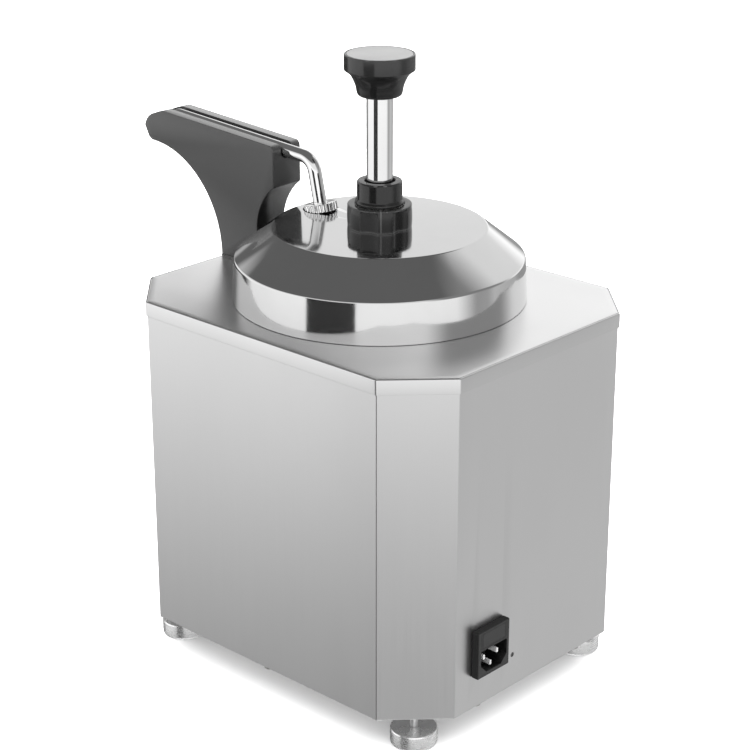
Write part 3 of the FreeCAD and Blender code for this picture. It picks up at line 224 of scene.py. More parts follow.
def swept(path, radius, count=40, inner=None):
    """A round bar, or a tube with a bore, along a path of points."""
    rows = []
    side = Vector((1.0, 0.0, 0.0))
    for i, p in enumerate(path):
        ahead = (path[min(i + 1, len(path) - 1)] - path[max(i - 1, 0)]).normalized()
        up = ahead.cross(side).normalized()
        across = up.cross(ahead).normalized()
        rows.append([p + radius * (math.cos(2 * math.pi * k / count) * across
                                   + math.sin(2 * math.pi * k / count) * up) for k in range(count)])
    if not inner:
        return capped(rows)
    bore = [[p + (q - p) * (inner / radius) for q in row] for p, row in zip(path, rows)]
    return grid(rows + bore[::-1], close_rows=True, close_columns=True)


def joined(*shapes):
    verts, faces = [], []
    for v, f in shapes:
        start = len(verts)
        verts += list(v)
        faces += [tuple(start + i for i in face) for face in f]
    return verts, faces


def moved(shape, matrix):
    verts, faces = shape
    return [matrix @ Vector(v) for v in verts], faces


def laid(shape, x, y, z, quarter=1.0):
    """Lays a shape drawn upright over, to point to -Y, or to +Y for a quarter of -1."""
    return moved(shape, Matrix.Translation((x, y, z)) @ Matrix.Rotation(quarter * math.pi / 2, 4, "X"))


def raw_object(name, shape):
    """A clean mesh object in the row frame."""
    verts, faces = shape
    mesh = bpy.data.meshes.new(name)
    mesh.from_pydata([AXIS + Vector(v) * MM for v in verts], [], faces)
    bm = bmesh.new()
    bm.from_mesh(mesh)
    bmesh.ops.remove_doubles(bm, verts=bm.verts, dist=1e-6)
    bmesh.ops.dissolve_degenerate(bm, edges=bm.edges, dist=1e-7)
    bmesh.ops.recalc_face_normals(bm, faces=bm.faces)
    bm.to_mesh(mesh)
    bm.free()
    obj = bpy.data.objects.new(name, mesh)
    bpy.context.scene.collection.objects.link(obj)
    return obj


def baked(obj):
    """Applies an object's modifiers to its mesh."""
    bpy.context.view_layer.update()
    evaluated = obj.evaluated_get(bpy.context.evaluated_depsgraph_get())
    mesh = bpy.data.meshes.new_from_object(evaluated)
    obj.modifiers.clear()
    old = obj.data
    obj.data = mesh
    bpy.data.meshes.remove(old)
    mesh.name = obj.name
    return obj


def combine(obj, operation, tools):
    """Applies a boolean with each tool in turn, and removes the tools."""
    for tool in tools:
        step = obj.modifiers.new(operation.lower(), "BOOLEAN")
        step.operation = operation
        step.solver = "EXACT"
        step.object = tool
    baked(obj)
    for tool in tools:
        bpy.data.objects.remove(tool)


def carve(obj, *cutters):
    """Cuts shapes out of an object."""
    combine(obj, "DIFFERENCE", [raw_object("cutter", shape) for shape in cutters])


def unite(obj, other):
    """Joins another object into this one."""
    combine(obj, "UNION", [other])


def bevel(obj, width, segments=3, angle=28.0):
    """Rounds an object's sharp edges."""
    edge = obj.modifiers.new("bevel", "BEVEL")
    edge.width = width * MM
    edge.segments = segments
    edge.limit_method = "ANGLE"
    edge.angle_limit = math.radians(angle)
    edge.use_clamp_overlap = True
    baked(obj)


def finish_piece(obj, body, nodes, finish, sharp=32.0, flats=False):
    """Shades a piece, gives it its material and ties it to the frame."""
    obj.data.shade_smooth()
    obj.data.set_sharp_from_angle(angle=math.radians(sharp))
    if flats:
        obj.data.shade_flat()
    obj.data.materials.clear()
    obj.data.materials.append(MATERIALS[finish])
    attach(obj, body)
    if nodes:
        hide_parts(*nodes)


def piece(name, shape, body, nodes, finish, sharp=32.0, flats=False, edge=None):
    """A finished piece from a shape, its sharp edges rounded where edge is given."""
    obj = raw_object(name, shape)
    if edge:
        bevel(obj, *edge)
    finish_piece(obj, body, nodes, finish, sharp, flats)
    return obj


# ---------------------------------------------------------------- materials

def add_node(tree, kind, inputs, **settings):
    """A shader node whose inputs are set from numbers, colours and other nodes' outputs."""
    made = tree.nodes.new("ShaderNode" + kind)
    for key, setting in settings.items():
        setattr(made, key, setting)
    for slot, source in inputs.items():
        socket = made.inputs[slot]
        if isinstance(source, bpy.types.NodeSocket):
            tree.links.new(source, socket)
        elif socket.type == "RGBA":
            socket.default_value = (*source, 1.0)
        else:
            socket.default_value = source
    return made


def result(tree, kind, inputs, **settings):
    """The first output in use of a new node."""
    made = add_node(tree, kind, inputs, **settings)
    return next(output for output in made.outputs if output.enabled)


def grey(value):
    return (value, value, value)


class Shader:
    """A material's node tree with short calls for the nodes used here."""

    def __init__(self, name, **sockets):
        self.material = bpy.data.materials.new(name)
        self.material.use_nodes = True
        self.tree = self.material.node_tree
        self.bsdf = self.tree.nodes["Principled BSDF"]
        for key, value in sockets.items():
            self.bsdf.inputs[key.replace("_", " ")].default_value = value
        self.coords = self.tree.nodes.new("ShaderNodeTexCoord").outputs

    def noise(self, scale, detail=4.0, roughness=0.6):
        """Noise with one scale, or a scale per axis, in cells per metre."""
        scale = scale if isinstance(scale, tuple) else grey(scale)
        place = result(self.tree, "Mapping", {"Vector": self.coords["Object"], "Scale": scale})
        return result(self.tree, "TexNoise", {"Vector": place, "Scale": 1.0, "Detail": detail,
                                              "Roughness": roughness})

    def ramp(self, source, low, high, out_low, out_high):
        return result(self.tree, "MapRange", {"Value": source, "From Min": low, "From Max": high,
                                              "To Min": out_low, "To Max": out_high})

    def math(self, operation, a, b):
        return result(self.tree, "Math", {0: a, 1: b}, operation=operation)

    def mix(self, fac, a, b):
        return result(self.tree, "Mix", {"Factor": fac, "A": a, "B": b}, data_type="RGBA")

    def painted_light_faces(self, axis):
        """1 on faces that look along an axis; callers use it to paint such faces lighter, as painted light."""
        split = add_node(self.tree, "SeparateXYZ", {"Vector": self.coords["Normal"]})
        return self.ramp(split.outputs[axis], 0.75, 0.98, 0.0, 1.0)

    def edges(self, most=1.0, low=0.505, high=0.56):
        """Rises to its most on worn convex edges and is 0 elsewhere; with low above high it picks out hollows
        instead, which polished() uses for painted shade.
        """
        geometry = add_node(self.tree, "NewGeometry", {})
        return self.ramp(geometry.outputs["Pointiness"], low, high, 0.0, most)

    def bump(self, height, strength, distance):
        bumped = result(self.tree, "Bump", {"Height": height, "Strength": strength, "Distance": distance})
        self.tree.links.new(bumped, self.bsdf.inputs["Normal"])

    def colour(self, source):
        self.tree.links.new(source, self.bsdf.inputs["Base Color"])

    def roughness(self, source):
        self.tree.links.new(source, self.bsdf.inputs["Roughness"])


def brushed(name, tone, grain, rough=(0.30, 0.42), depth=0.00002, contrast=0.05, top=None):
    """Brushed sheet: long fine grain, faint blotches, small scratches and brighter edges; top gives upward faces a
    painted-light tone.
    """
    s = Shader(name, Metallic=1.0)
    fine = s.noise(grain, 5.0, 0.65)
    cloud = s.noise((9.0, 9.0, 5.0), 3.0)
    scratch = s.noise(tuple(g * 0.33 for g in grain), 2.0)
    base = s.mix(fine, grey(tone * (1.0 - contrast)), grey(min(tone * (1.0 + contrast), 1.0)))
    base = s.mix(s.ramp(cloud, 0.35, 0.7, 0.0, 0.35), base, grey(tone * 0.93))
    # painted light: with top given, faces looking up get a lighter tone, as if lit from above
    if top:
        base = s.mix(s.painted_light_faces("Z"), base, s.mix(fine, grey(top * 0.96), grey(top)))
    s.colour(s.mix(s.edges(0.2), base, grey(0.92)))
    value = s.math("ADD", s.ramp(fine, 0.25, 0.75, *rough), s.ramp(scratch, 0.66, 0.72, 0.0, 0.02))
    s.roughness(s.math("ADD", value, s.ramp(cloud, 0.3, 0.7, -0.02, 0.02)))
    s.bump(fine, 0.35, depth)
    return s.material


def polished(name, tone, rough, painted_hollow_shade=0.0):
    """Mirror-polished metal with polishing haze, wipe marks, hairline scratches and, where asked, painted shade in
    its hollows.
    """
    s = Shader(name, Metallic=1.0)
    haze = s.noise((22.0, 22.0, 30.0), 5.0, 0.6)
    wipe = s.noise((160.0, 35.0, 60.0), 3.0)
    hair = s.noise((2600.0, 300.0, 900.0), 2.0)
    shade = s.mix(s.ramp(haze, 0.3, 0.75, 0.0, 1.0), grey(tone), grey(0.95 * tone))
    # painted shade: concave hollows are darkened towards black, as the shade between ribs
    if painted_hollow_shade:
        shade = s.mix(s.edges(1.0, 0.497, 0.46), shade, grey(1.0 - painted_hollow_shade))
    s.colour(shade)
    value = s.math("ADD", s.ramp(haze, 0.3, 0.7, *rough), s.ramp(wipe, 0.5, 0.75, 0.0, 0.02))
    s.roughness(s.math("ADD", value, s.ramp(hair, 0.70, 0.76, 0.0, 0.05)))
    s.bump(wipe, 0.08, 0.00002)
    return s.material


def moulded(name, tone, rough, grain=900.0, depth=0.00004, wear=0.10, index=1.5, face=None):
    """Black moulding: fine spark texture, faint swirl and slightly polished edges; face gives faces looking along
    +Y a lighter painted-light tone.
    """
    s = Shader(name, Metallic=0.0, IOR=index)
    spark = s.noise(grain, 3.0, 0.7)
    swirl = s.noise((14.0, 14.0, 20.0), 4.0)
    base = s.mix(s.ramp(swirl, 0.3, 0.7, 0.0, 1.0), grey(tone * 0.85), grey(tone * 1.2))
    # painted light: with face given, faces looking along +Y get a lighter tone, as if lit on that side
    if face:
        base = s.mix(s.painted_light_faces("Y"), base, s.mix(swirl, grey(face * 0.9), grey(face * 1.1)))
    s.colour(s.mix(s.edges(wear), base, grey(0.3)))
    s.roughness(s.math("ADD", s.ramp(spark, 0.3, 0.7, *rough), s.ramp(swirl, 0.3, 0.7, -0.03, 0.04)))
    s.bump(spark, 0.3, depth)
    return s.material


def coated(name, tone):
    """Satin powder coat with a fine orange peel, rubbed edges and upward faces painted lighter as painted light.
    """
    s = Shader(name, Metallic=0.0, IOR=1.72)
    peel = s.noise(420.0, 2.0)
    fleck = s.noise(3000.0, 1.0)
    drift = s.noise(12.0, 3.0)
    base = s.mix(s.ramp(drift, 0.3, 0.7, 0.0, 1.0), grey(tone * 0.94), grey(tone * 1.07))
    base = s.mix(s.ramp(fleck, 0.62, 0.72, 0.0, 0.25), base, grey(tone * 1.5))
    # painted light: faces looking up are made lighter, as if lit from above
    base = s.mix(s.painted_light_faces("Z"), base, grey(0.07))
    s.colour(s.mix(s.edges(0.10), base, grey(0.2)))
    s.roughness(s.ramp(peel, 0.3, 0.7, 0.25, 0.27))
    s.bump(peel, 0.1, 0.000008)
    return s.material


def simple_metal(name, tint, rough, grain, metallic=1.0):
    """Turned or drawn metal: fine tool marks and stains."""
    s = Shader(name, Metallic=metallic)
    marks = s.noise(grain)
    stain = s.noise(30.0)
    s.colour(s.mix(s.ramp(stain, 0.35, 0.7, 0.0, 1.0), tint, tuple(c * 0.82 for c in tint)))
    s.roughness(s.ramp(marks, 0.25, 0.75, rough - 0.06, rough + 0.08))
    s.bump(marks, 0.3, 0.00003)
    return s.material


def plated(name, tone):
    """Dull plating that scatters some light, with draw marks."""
    s = Shader(name, Metallic=0.55)
    marks = s.noise((900.0, 120.0, 900.0), 3.0)
    s.colour(s.mix(marks, grey(tone * 0.92), grey(tone)))
    s.roughness(s.ramp(marks, 0.3, 0.7, 0.25, 0.38))
    s.bump(marks, 0.15, 0.00001)
    return s.material


def rubber(name, tone):
    """Matt rubber with a pale bloom."""
    s = Shader(name, Metallic=0.0)
    grainy = s.noise(1400.0, 3.0)
    bloom = s.noise(40.0)
    s.colour(s.mix(s.ramp(bloom, 0.35, 0.75, 0.0, 1.0), grey(tone), grey(tone * 1.7)))
    s.roughness(s.ramp(grainy, 0.3, 0.7, 0.62, 0.82))
    s.bump(grainy, 0.4, 0.00005)
    return s.material


def sleeving(name, tint):
    """Braided glass-fibre sleeve."""
    s = Shader(name, Metallic=0.0, Roughness=0.75)
    waves = []
    for turn in (0.7, -0.7):
        place = result(s.tree, "Mapping", {"Vector": s.coords["Object"], "Rotation": (turn, turn, 0.0)})
        waves.append(add_node(s.tree, "TexWave", {"Vector": place, "Scale": 260.0}).outputs["Fac"])
    weave = s.math("MULTIPLY", *waves)
    s.colour(s.mix(weave, tuple(0.55 * c for c in tint), tint))
    s.bump(weave, 0.6, 0.0002)
    return s.material


def lens(name, tint):
    """A glossy ribbed lens with dust on it."""
    s = Shader(name, Metallic=0.0, Coat_Weight=0.6)
    ribs = s.noise(300.0, 2.0)
    dust = s.noise(60.0, 5.0)
    s.colour(s.mix(ribs, tuple(0.6 * c for c in tint), tint))
    s.roughness(s.ramp(dust, 0.3, 0.7, 0.08, 0.2))
    s.bump(ribs, 0.2, 0.0001)
    return s.material


UP_GRAIN = (1500.0, 1500.0, 9.0)
ALONG_Y = (1500.0, 9.0, 1500.0)
ROUND_GRAIN = (260.0, 260.0, 1800.0)

FINISHES = {
    "wall_steel": (brushed, 0.76, UP_GRAIN, (0.30, 0.38), 0.00001, 0.03),
    # plate_steel's last value is the painted-light tone of the plate's upward faces
    "plate_steel": (brushed, 0.74, ALONG_Y, (0.31, 0.35), 0.000004, 0.03, 1.0),
    "pan_steel": (brushed, 0.66, ALONG_Y, (0.34, 0.44)),
    "vessel_steel": (brushed, 0.7, ROUND_GRAIN, (0.2, 0.3)),
    "foot_steel": (simple_metal, grey(0.96), 0.27, (120.0, 120.0, 900.0), 0.90),
    "stud_steel": (simple_metal, grey(0.85), 0.40, (200.0, 200.0, 900.0), 0.93),
    "pump_steel": (simple_metal, (0.7, 0.7, 0.69), 0.26, ROUND_GRAIN),
    "screw_steel": (simple_metal, (0.6, 0.6, 0.58), 0.32, 900.0),
    "spring_steel": (simple_metal, grey(0.55), 0.3, (900.0, 900.0, 200.0)),
    "lid_steel": (polished, 0.66, (0.06, 0.11)),
    "rod_steel": (polished, 0.8, (0.03, 0.06)),
    # nut_steel's last value darkens the nut's hollows as painted shade
    "nut_steel": (polished, 0.9, (0.04, 0.08), 0.97),
    "knob_crown": (polished, 0.46, (0.20, 0.28)),
    "aluminium": (simple_metal, (0.75, 0.76, 0.78), 0.36, (60.0, 900.0, 900.0)),
    "brass": (simple_metal, (0.72, 0.68, 0.6), 0.22, (400.0, 60.0, 400.0)),
    "blade_metal": (plated, 0.8),
    # coated() paints the shroud's upward faces lighter as painted light
    "shroud_coat": (coated, 0.004),
    "black_phenolic": (moulded, 0.010, (0.2, 0.28), 700.0, 0.000008),
    "grip_black": (moulded, 0.006, (0.13, 0.19), 500.0, 0.000004, 0.12),
    # inlet_black's last value is the painted-light tone of the inlet's outer face
    "inlet_black": (moulded, 0.004, (0.3, 0.38), 1100.0, 0.00001, 0.02, 1.28, 0.016),
    "black_plastic": (moulded, 0.009, (0.26, 0.34), 1100.0, 0.00001),
    "white_marks": (moulded, 0.75, (0.4, 0.5), 900.0, 0.00002, 0.0),
    "seal_rubber": (rubber, 0.035),
    "sleeve": (sleeving, (0.35, 0.33, 0.3)),
    "red_lens": (lens, (0.62, 0.04, 0.02)),
    "fuse_glass": (lens, (0.7, 0.74, 0.74)),
}
MATERIALS = {name: make(name, *values) for name, (make, *values) in FINISHES.items()}

# slots whose finish has another name
SLOT_FINISH = {
    "cabinet_steel": "wall_steel", "black_shroud": "shroud_coat",
    "polished_steel": "rod_steel", "foot_metal": "foot_steel",
}

node_slots = {row["node"]: row["material_slot"] for row in frame["record"]["subparts"]}
for node_name, node_object in frame["nodes"].items():
    slot = node_slots[node_name]
    node_object.data.materials.clear()
    node_object.data.materials.append(MATERIALS[SLOT_FINISH.get(slot, slot)])


# ---------------------------------------------------------------- cabinet

def octagon_ring(inset, z, corner, sides=14, steps=4):
    """One level of the octagon with rounded corners; every ring has the same point count."""
    x, y = HALF_X - inset, HALF_Y - inset
    cut = CHAMFER - inset * (2.0 - math.sqrt(2.0))
    first = [(x, y - cut), (x - cut, y), (cut - x, y), (-x, y - cut)]
    corners = first + [(-a, -b) for a, b in first]
    outline = rounded(corners, corner, steps=steps)
    per_corner = steps + 1
    ring = []
    for i in range(len(corners)):
        bend = outline[i * per_corner:(i + 1) * per_corner]
        ahead = outline[((i + 1) * per_corner) % len(outline)]
        ring += bend
        for k in range(1, sides):
            ring.append(bend[-1].lerp(ahead, k / sides))
    return [Vector((p.x, p.y, z)) for p in ring]


def top_plate():
    """The cap: rounded skirt, a fine joint line round its edge and the round opening."""
    bottom, top = plate_low.z, PLATE_TOP
    levels = [(0.95, bottom), (0.25, bottom), (0.0, bottom + 0.25)]
    levels += [(p.x, p.y) for p in arc((1.0, top - 1.0), 1.0, 180.0, 90.0, 5)]
    levels += [(1.05, top - 0.5), (1.55, top - 0.5), (1.6, top - 0.04), (1.8, top), (6.0, top)]
    inner = [(6.0, top - 1.0), (0.95, top - 1.0)]
    outside, inside = ([octagon_ring(inset, z, max(PLATE_BEND - inset, 0.4)) for inset, z in part]
                       for part in (levels, inner))
    opening = []
    for radius, z in ((OPENING_R + 0.6, top), (OPENING_R, top - 0.4), (OPENING_R, top - 1.0)):
        flat = [Vector((p.x, p.y, 0.0)).normalized() * radius for p in outside[0]]
        opening.append([Vector((p.x, p.y, z)) for p in flat])
    piece("plate_cap", grid(outside + opening + inside, close_rows=True, close_columns=True),
          "cabinet", ["top_plate"], "plate_steel")


def wall_strip(name, start, inside, limit, joint, nodes, holes):
    """A bent wall sheet with a rolled bottom lip, from one seam to the other."""
    bottom, top = wall_low.z, wall_high.z
    base = WALL_INSET
    section = [(base + WALL_LIP, bottom + 1.0), (base + WALL_LIP, bottom)]
    section += [(p.x, p.y) for p in arc((base + 0.6, bottom + 0.6), 0.6, 270.0, 180.0, 4)]
    section += [(base, top), (base + 1.0, top), (base + 1.0, bottom + 1.0)]
    outline = octagon_ring(base, bottom, 2.0)
    count = len(outline)
    first = min(range(count), key=lambda i: (outline[i].x - start[0]) ** 2 + (outline[i].y - start[1]) ** 2)
    kept = [(first + k) % count for k in range(count)]
    kept = [i for i in kept if inside(outline[i].y)]
    rows = []
    for inset, z in section:
        ring = octagon_ring(inset, z, max(2.0 - (inset - base), 0.4))
        row = [Vector((ring[i].x, limit(ring[i].y, joint), z)) for i in kept]
        rows.append([Vector((row[0].x, joint, z))] + row + [Vector((row[-1].x, joint, z))])
    obj = raw_object(name, capped([list(column) for column in zip(*rows)]))
    carve(obj, *holes)
    finish_piece(obj, "cabinet", nodes, "wall_steel")


def cabinet_walls():
    """The front wrap and the rear panel, meeting at a fine dark seam on each side."""
    seam = HALF_Y - WALL_INSET - (CHAMFER - WALL_INSET * (2.0 - math.sqrt(2.0)))
    front, rear = seam - SEAM_GAP, seam + SEAM_GAP
    switch_hole = block((switch_low.x + 1.8, switch_high.x - 1.8), (-HALF_Y - 8.0, -HALF_Y + 8.0),
                        (switch_low.z + 1.8, switch_high.z - 1.8))
    wall_strip("wall_wrap", (-HALF_X, front), lambda y: y < front - 1.5, min, front,
               ["body_wrap"], [switch_hole])
    inlet_hole = block((inlet_low.x + 1.2, inlet_high.x - 1.2), (HALF_Y - 8.0, HALF_Y + 8.0),
                       (inlet_low.z + 1.0, inlet_high.z - 1.0))
    small_hole = laid(plug(RESET_R, -8.0, 8.0, 48), RESET_AT[0], HALF_Y, RESET_AT[1])
    wall_strip("wall_rear", (HALF_X, rear - 8.0), lambda y: y > rear + 0.05, max, rear,
               ["rear_panel"], [inlet_hole, small_hole])


# ---------------------------------------------------------------- lid and pump

def on_tube_axis(shape):
    """Puts a shape drawn upright at the origin onto the tube's leaning axis at the lid."""
    return moved(shape, Matrix.Translation(TUBE_AT_LID) @ Matrix.Rotation(TUBE_LEAN, 4, "X"))


def lid():
    """The raised cover, with a wedge pad and a recess that seat the tube's nut squarely."""
    top, foot = lid_high.z, lid_low.z
    outside = [(104.0, foot), (102.5, 304.0), (75.4, top), (16.2, top)]
    skin = rounded(outside, [0.0, 2.8, 3.0, 0.0], closed=False, steps=9)
    inside = [(16.2, top - 1.2), (74.9, top - 1.2), (101.3, 303.4), (102.8, foot)]
    skin += rounded(inside, [0.0, 2.0, 1.6, 0.0], closed=False, steps=5)
    obj = raw_object("lid_shell", turned(skin, 256, closed=True))
    pad = raw_object("pad", on_tube_axis(plug(14.5, -4.1, 5.0, 96)))
    carve(pad, block((-30.0, 30.0), (-100.0, -20.0), (top - 0.6, top + 20.0)))
    unite(obj, pad)
    carve(obj, on_tube_axis(plug(12.9, -1.5, 12.0, 96)), on_tube_axis(plug(9.3, -30.0, 30.0, 72)))
    finish_piece(obj, "lid_and_pump", ["lid"], "lid_steel", 24.0)


def lock_nut():
    """The clamping nut: six broad lobes with hollow grips between them and a crisp top edge."""
    base, top, outer = nut_low.z, nut_high.z, 22.95
    lobes, hollow, blend = 6, 9.0, 0.22

    def ripple(turn, r, z):
        if r < outer - 2.0:
            return r
        phase = ((turn - math.radians(22.8)) * lobes / (2.0 * math.pi) + 0.5) % 1.0 - 0.5
        across = min(abs(phase) * 2.0 * math.pi * outer / lobes, hollow - 0.5)
        cut = outer + 6.1 - math.sqrt(hollow * hollow - across * across)
        grooved = -blend * math.log(math.exp(-(r - outer) / blend) + math.exp(-(cut - outer) / blend)) + outer
        depth = min(1.0, max(0.0, (top - 0.9 - z) / 0.5))
        return r + (grooved - r) * depth

    side = curve([(outer - 0.3, base), (outer - 0.05, base + 4.0), (outer, base + 8.0),
                  (outer - 0.15, top - 4.0), (outer - 0.4, top - 1.6)], 4)
    outline = [(p.x, p.y) for p in side] + [(outer - 0.42, top - 1.2), (outer - 0.45, top - 0.9),
                                            (outer - 0.5, top), (17.6, top),
                                            (17.2, top - 0.9), (15.95, top - 0.9), (15.95, base)]
    skin = rounded(outline, [0.0] * (len(side) + 2) + [0.7, 0.4, 0.2, 0.0, 0.0], steps=4)
    piece("grip_nut", turned(skin, 540, closed=True, ripple=ripple), "clamp_nut", ["lock_nut"],
          "grip_black", 30.0)


def rod_guide():
    """The black bush the rod slides through, with a soft shoulder and a wiper groove."""
    base, top = (corner.z for corner in span("rod_guide"))
    neck = nut_high.z + 0.3
    outline = [(9.45, base), (12.4, base), (12.4, neck), (17.2, neck), (17.2, neck + 1.6),
               (16.0, neck + 3.4), (15.9, top - 1.0), (15.3, top), (11.2, top), (10.6, top - 0.5),
               (10.4, top - 2.5), (9.45, top - 2.5)]
    skin = rounded(outline, [0.0, 0.4, 0.0, 0.4, 1.2, 1.6, 0.5, 0.4, 0.3, 0.2, 0.0, 0.0])
    piece("guide_bush", turned(skin, 160, closed=True), "lid_and_pump", ["rod_guide"],
          "grip_black")


def plunger():
    """The polished rod, the flared black knob and the satin disc in its top."""
    low, high = (corner.z for corner in span("plunger_rod"))
    rod = [(0.0, low), (8.6, low), (ROD_R, low + 0.6)]
    rod += [(ROD_R, low + 20.0 * i) for i in range(1, 7)]
    rod += [(ROD_R, high - 0.6), (8.6, high), (0.0, high)]
    piece("rod_bar", turned(rod, 160), "plunger", ["plunger_rod"], "rod_steel")
    top = span("plunger_knob")[1].z
    side = curve([(13.0, 418.0), (14.0, 418.3), (15.3, 419.4), (16.0, 421.6), (16.7, 425.2), (18.1, 428.8),
                  (19.9, 432.3), (22.0, 434.6)], 5)
    skin = [(9.3, 418.4), (9.6, 418.0)] + side
    skin += rounded([(22.0, 434.6), (24.5, 436.3), (24.5, top), (23.2, top)],
                    [0.0, 0.5, 0.6, 0.0], closed=False, steps=6)[1:]
    skin += [(23.1, top - 0.25), (22.8, top - 0.25), (22.8, top - 1.6), (0.0, top - 1.6),
             (0.0, 437.5), (9.3, 437.5)]
    piece("knob_head", turned(skin, 192, closed=True), "plunger", ["plunger_knob"],
          "grip_black")
    crown = [(0.0, top - 1.6), (22.8, top - 1.6), (22.8, top - 0.25), (22.55, top),
             (12.0, top - 0.05), (0.0, top - 0.1)]
    piece("knob_crown", turned(crown, 192, closed=True), "plunger", [], "knob_crown")


def pump_spring():
    """The pump's return spring, a coil built at one length on a mesh of its own; nothing here shortens it as the
    plunger goes down.
    """
    low, high = (corner.z for corner in span("return_spring"))
    length = high - low
    rise = length - 2.0 * SPRING_WIRE_R
    steps = 40 * SPRING_TURNS
    pitch = rise / (2.0 * math.pi * SPRING_TURNS)
    rows = []
    for i in range(steps + 1):
        turn = 2.0 * math.pi * SPRING_TURNS * i / steps
        out = Vector((math.cos(turn), math.sin(turn), 0.0))
        across = Vector((-SPRING_R * out.y, SPRING_R * out.x, pitch)).normalized().cross(out)
        centre = SPRING_R * out + Vector((0.0, 0.0, low + SPRING_WIRE_R + rise * i / steps))
        rows.append([centre + SPRING_WIRE_R * (math.cos(a) * out + math.sin(a) * across)
                     for a in (2.0 * math.pi * k / 16 for k in range(16))])
    obj = piece("pump_spring", capped(rows), "lid_and_pump", ["return_spring"],
                "spring_steel")
    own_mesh(obj)


def groove_z(y):
    """Height of the tube's centre line in the groove."""
    return GROOVE_AT[1] + (GROOVE_AT[0] - y) * GROOVE_RISE


def discharge_tube():
    """The bright tube: up through the lid, bent forward along the groove and down at the nose."""
    lean = math.tan(TUBE_LEAN)
    riser = -34.0
    reach = (groove_z(TUBE_AT_LID.y) - TUBE_AT_LID.z) * lean / (1.0 - GROOVE_RISE * lean)
    bend_y = TUBE_AT_LID.y - reach
    corners = [(riser, span("discharge_tube")[0].z),
               (riser, TUBE_AT_LID.z - (riser - TUBE_AT_LID.y) / lean),
               (bend_y, groove_z(bend_y)), (TIP.x, groove_z(TIP.x)), TIP]
    line = rounded(corners, [0.0, 40.0, 12.0, 12.0, 0.0], closed=False, steps=14)
    path = []
    for a, b in zip(line, line[1:]):
        steps = max(1, int((b - a).length / 12.0))
        path += [a.lerp(b, i / steps) for i in range(steps)]
    points = [Vector((0.0, p.x, p.y)) for p in path + [line[-1]]]
    piece("spout_tube", swept(points, TUBE_R, 64, TUBE_R - TUBE_WALL), "lid_and_pump", ["discharge_tube"],
          "rod_steel", 40.0)


def tube_fittings():
    """The threaded bushing in the lid and the ribbed nut above it."""
    pitch = 1.25
    thread = []
    for i in range(5):
        z = -4.1 + pitch * i
        thread += [(9.0, z), (8.4, z + 0.5 * pitch)]
    sleeve = [(TUBE_R + 0.02, -8.0), (12.0, -8.0), (12.0, -4.2)] + thread + [(9.0, 2.6), (TUBE_R + 0.02, 3.0)]
    piece("tube_sleeve", on_tube_axis(turned(sleeve, 96, closed=True)), "lid_and_pump", ["tube_bushing"],
          "grip_black")
    low, high, outer = -1.2, 4.6, 11.9
    ribs, groove = 26, 1.1

    def ripple(turn, r, z):
        phase = (turn * ribs / (2.0 * math.pi)) % 1.0 - 0.5
        across = abs(phase) * 2.0 * math.pi * r / ribs
        if r < outer - 1.3 or across >= groove:
            return r
        return min(r, outer + 0.2 - math.sqrt(groove * groove - across * across))

    bore = TUBE_R + 0.15
    side = rounded([(9.2, low), (outer, low), (outer, high), (bore, high), (bore, low + 4.5),
                    (9.2, low + 4.5)], [0.0, 0.6, 1.0, 0.3, 0.0, 0.0])
    tall = []
    for a, b in zip(side, side[1:] + side[:1]):
        tall.append(a)
        if (b - a).length > 3.0 and a.x > outer - 0.1:
            tall += [a.lerp(b, 0.33), a.lerp(b, 0.66)]
    piece("rib_nut", on_tube_axis(turned(tall, 624, closed=True, ripple=ripple)), "tube_clamp_nut",
          ["tube_nut"], "nut_steel", 30.0)


def through(a, b, c, steps):
    """Points of the circular arc through three points, both ends included."""
    a, b, c = Vector(a), Vector(b), Vector(c)
    ab, ac = b - a, c - a
    d = 2.0 * (ab.x * ac.y - ab.y * ac.x)
    centre = a + Vector((ac.y * ab.length_squared - ab.y * ac.length_squared,
                         ab.x * ac.length_squared - ac.x * ab.length_squared)) / d
    start, end = a - centre, c - centre
    turn = math.copysign(start.angle(end), d)
    base = math.atan2(start.y, start.x)
    return [centre + start.length * Vector((math.cos(base + turn * i / steps), math.sin(base + turn * i / steps)))
            for i in range(steps + 1)]


